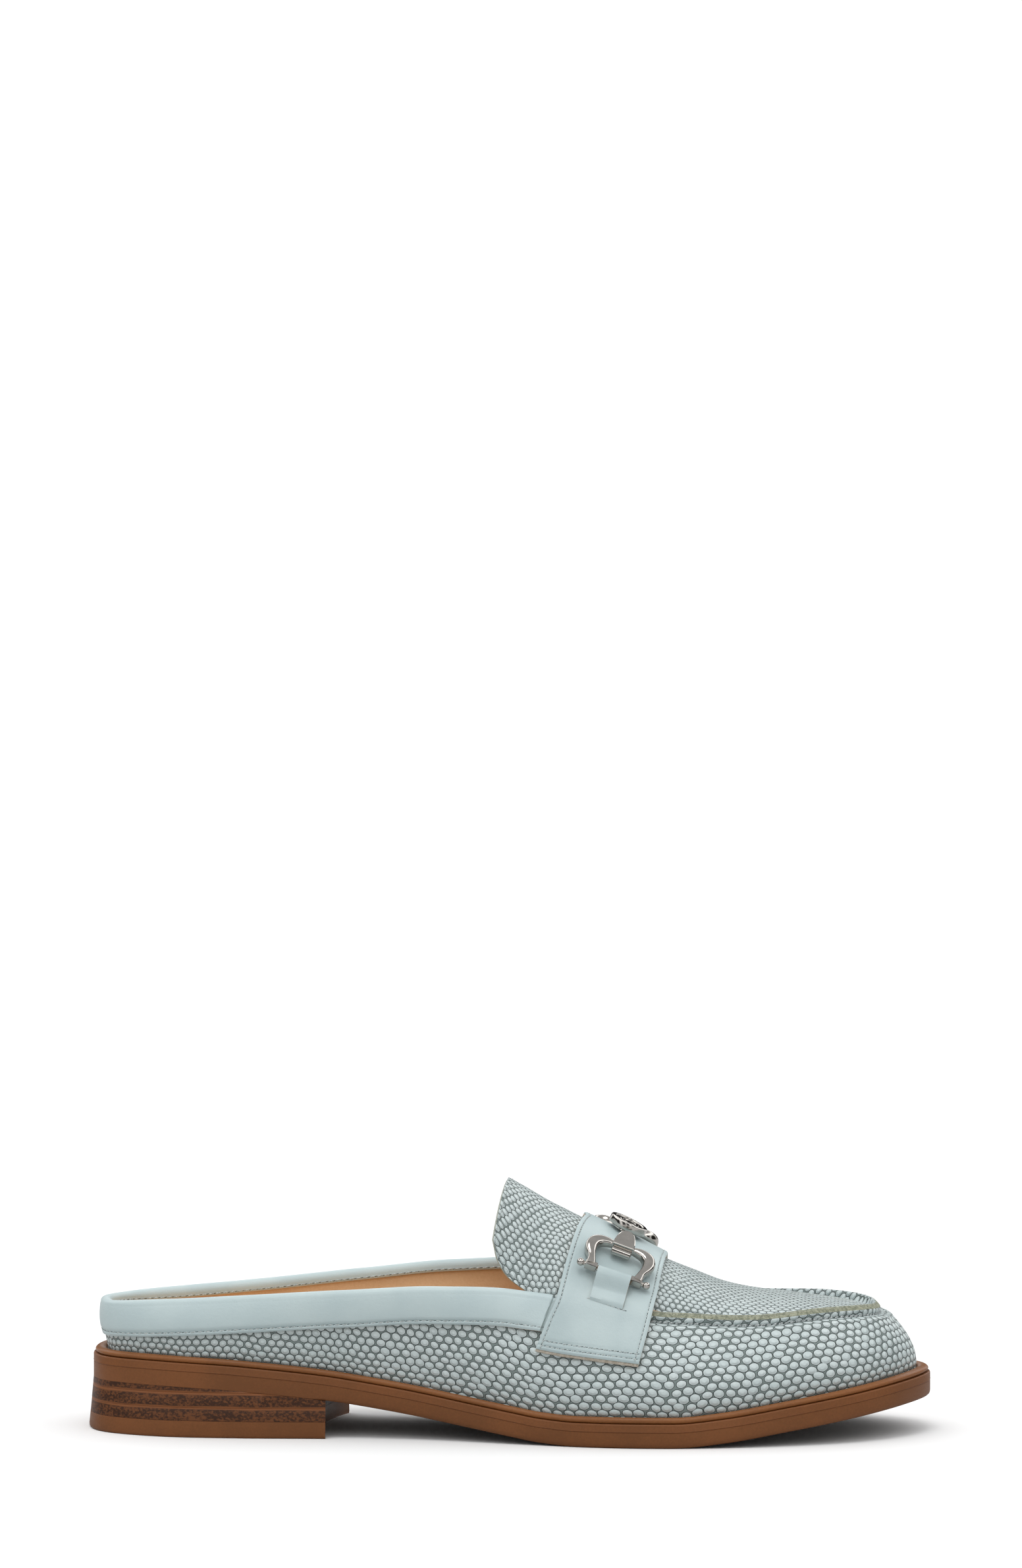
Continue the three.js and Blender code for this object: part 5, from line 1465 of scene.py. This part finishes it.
# What polished pieces reflect: a bright band of lamps under a grey ceiling, and upright lamps in the dark
def lampPattern(tree, parts):
    ceiling = rampBetween(tree, parts["Z"], 0.62, 0.8, 2.2, 0.5)
    high = rampBetween(tree, parts["Z"], 0.46, 0.52)
    lamps = 0.02
    for middle, half, strength in ((-0.62, 0.1, 1.2), (-0.12, 0.07, 0.9), (0.36, 0.12, 1.4), (0.85, 0.05, 0.8)):
        off = doMath(tree, "ABSOLUTE", doMath(tree, "SUBTRACT", parts["X"], middle))
        lamps = doMath(tree, "ADD", rampBetween(tree, off, half + 0.03, half - 0.03, 0, strength), lamps)
    upper = doMath(tree, "MULTIPLY", high, ceiling)
    lower = doMath(tree, "MULTIPLY", doMath(tree, "SUBTRACT", 1.0, high), lamps)
    return doMath(tree, "ADD", upper, lower)


def makeStudio():
    look = studioLook
    size = look["floorSize"] / 2
    mesh = bpy.data.meshes.new("floor")
    mesh.from_pydata([(-size, -size, 0), (size, -size, 0), (size, size, 0), (-size, size, 0)], [], [(0, 1, 2, 3)])
    floor = bpy.data.objects.new("floor", mesh)
    bpy.context.scene.collection.objects.link(floor)
    material, tree, shader = newMaterial("paperFloor", 0.9, Specular_IOR_Level=0.1)
    fibres = addNode(tree, "ShaderNodeTexNoise", {"Vector": addNode(tree, "ShaderNodeTexCoord").outputs["Object"],
                                                 "Scale": 60.0}).outputs["Fac"]
    white = tuple([look["floorTint"]] * 3) + (1,)
    nearWhite = tuple([look["floorTint"] - 0.005] * 3) + (1,)
    dim = tuple([look["floorBounce"]] * 3) + (1,)
    seenDirectly = addNode(tree, "ShaderNodeLightPath").outputs["Is Camera Ray"]
    paper = mixColours(tree, fibres, nearWhite, white)
    tree.links.new(mixColours(tree, seenDirectly, dim, paper), shader.inputs["Base Color"])
    mesh.materials.append(material)
    world = bpy.data.worlds.new("studio")
    world.use_nodes = True
    bpy.context.scene.world = world
    tree = world.node_tree
    background = tree.nodes["Background"]
    direction = addNode(tree, "ShaderNodeTexCoord").outputs["Generated"]
    parts = addNode(tree, "ShaderNodeSeparateXYZ", {0: direction}).outputs
    overhead = rampBetween(tree, parts["Z"], -0.1, 0.75, look["skyLow"], look["skyHigh"])
    rays = addNode(tree, "ShaderNodeLightPath")
    shine = addNode(tree, "ShaderNodeMix", data_type="FLOAT")
    tree.links.new(rays.outputs["Is Glossy Ray"], shine.inputs[0])
    tree.links.new(overhead, shine.inputs[2])
    tree.links.new(lampPattern(tree, parts), shine.inputs[3])
    seen = addNode(tree, "ShaderNodeMix", data_type="FLOAT")
    tree.links.new(rays.outputs["Is Camera Ray"], seen.inputs[0])
    tree.links.new(shine.outputs[0], seen.inputs[2])
    seen.inputs[3].default_value = look["backdrop"]
    tree.links.new(seen.outputs[0], background.inputs["Strength"])
    background.inputs["Color"].default_value = (1, 1, 1, 1)
    sun = bpy.data.objects.new("key", bpy.data.lights.new("key", "SUN"))
    sun.data.energy = look["sunStrength"]
    sun.data.angle = math.radians(look["sunWidth"])
    sun.rotation_euler = tuple(math.radians(angle) for angle in look["sunTilt"])
    bpy.context.scene.collection.objects.link(sun)
    bpy.context.scene.view_settings.view_transform = "Standard"


makeCamera()
makeStudio()
print("camera and studio ready")
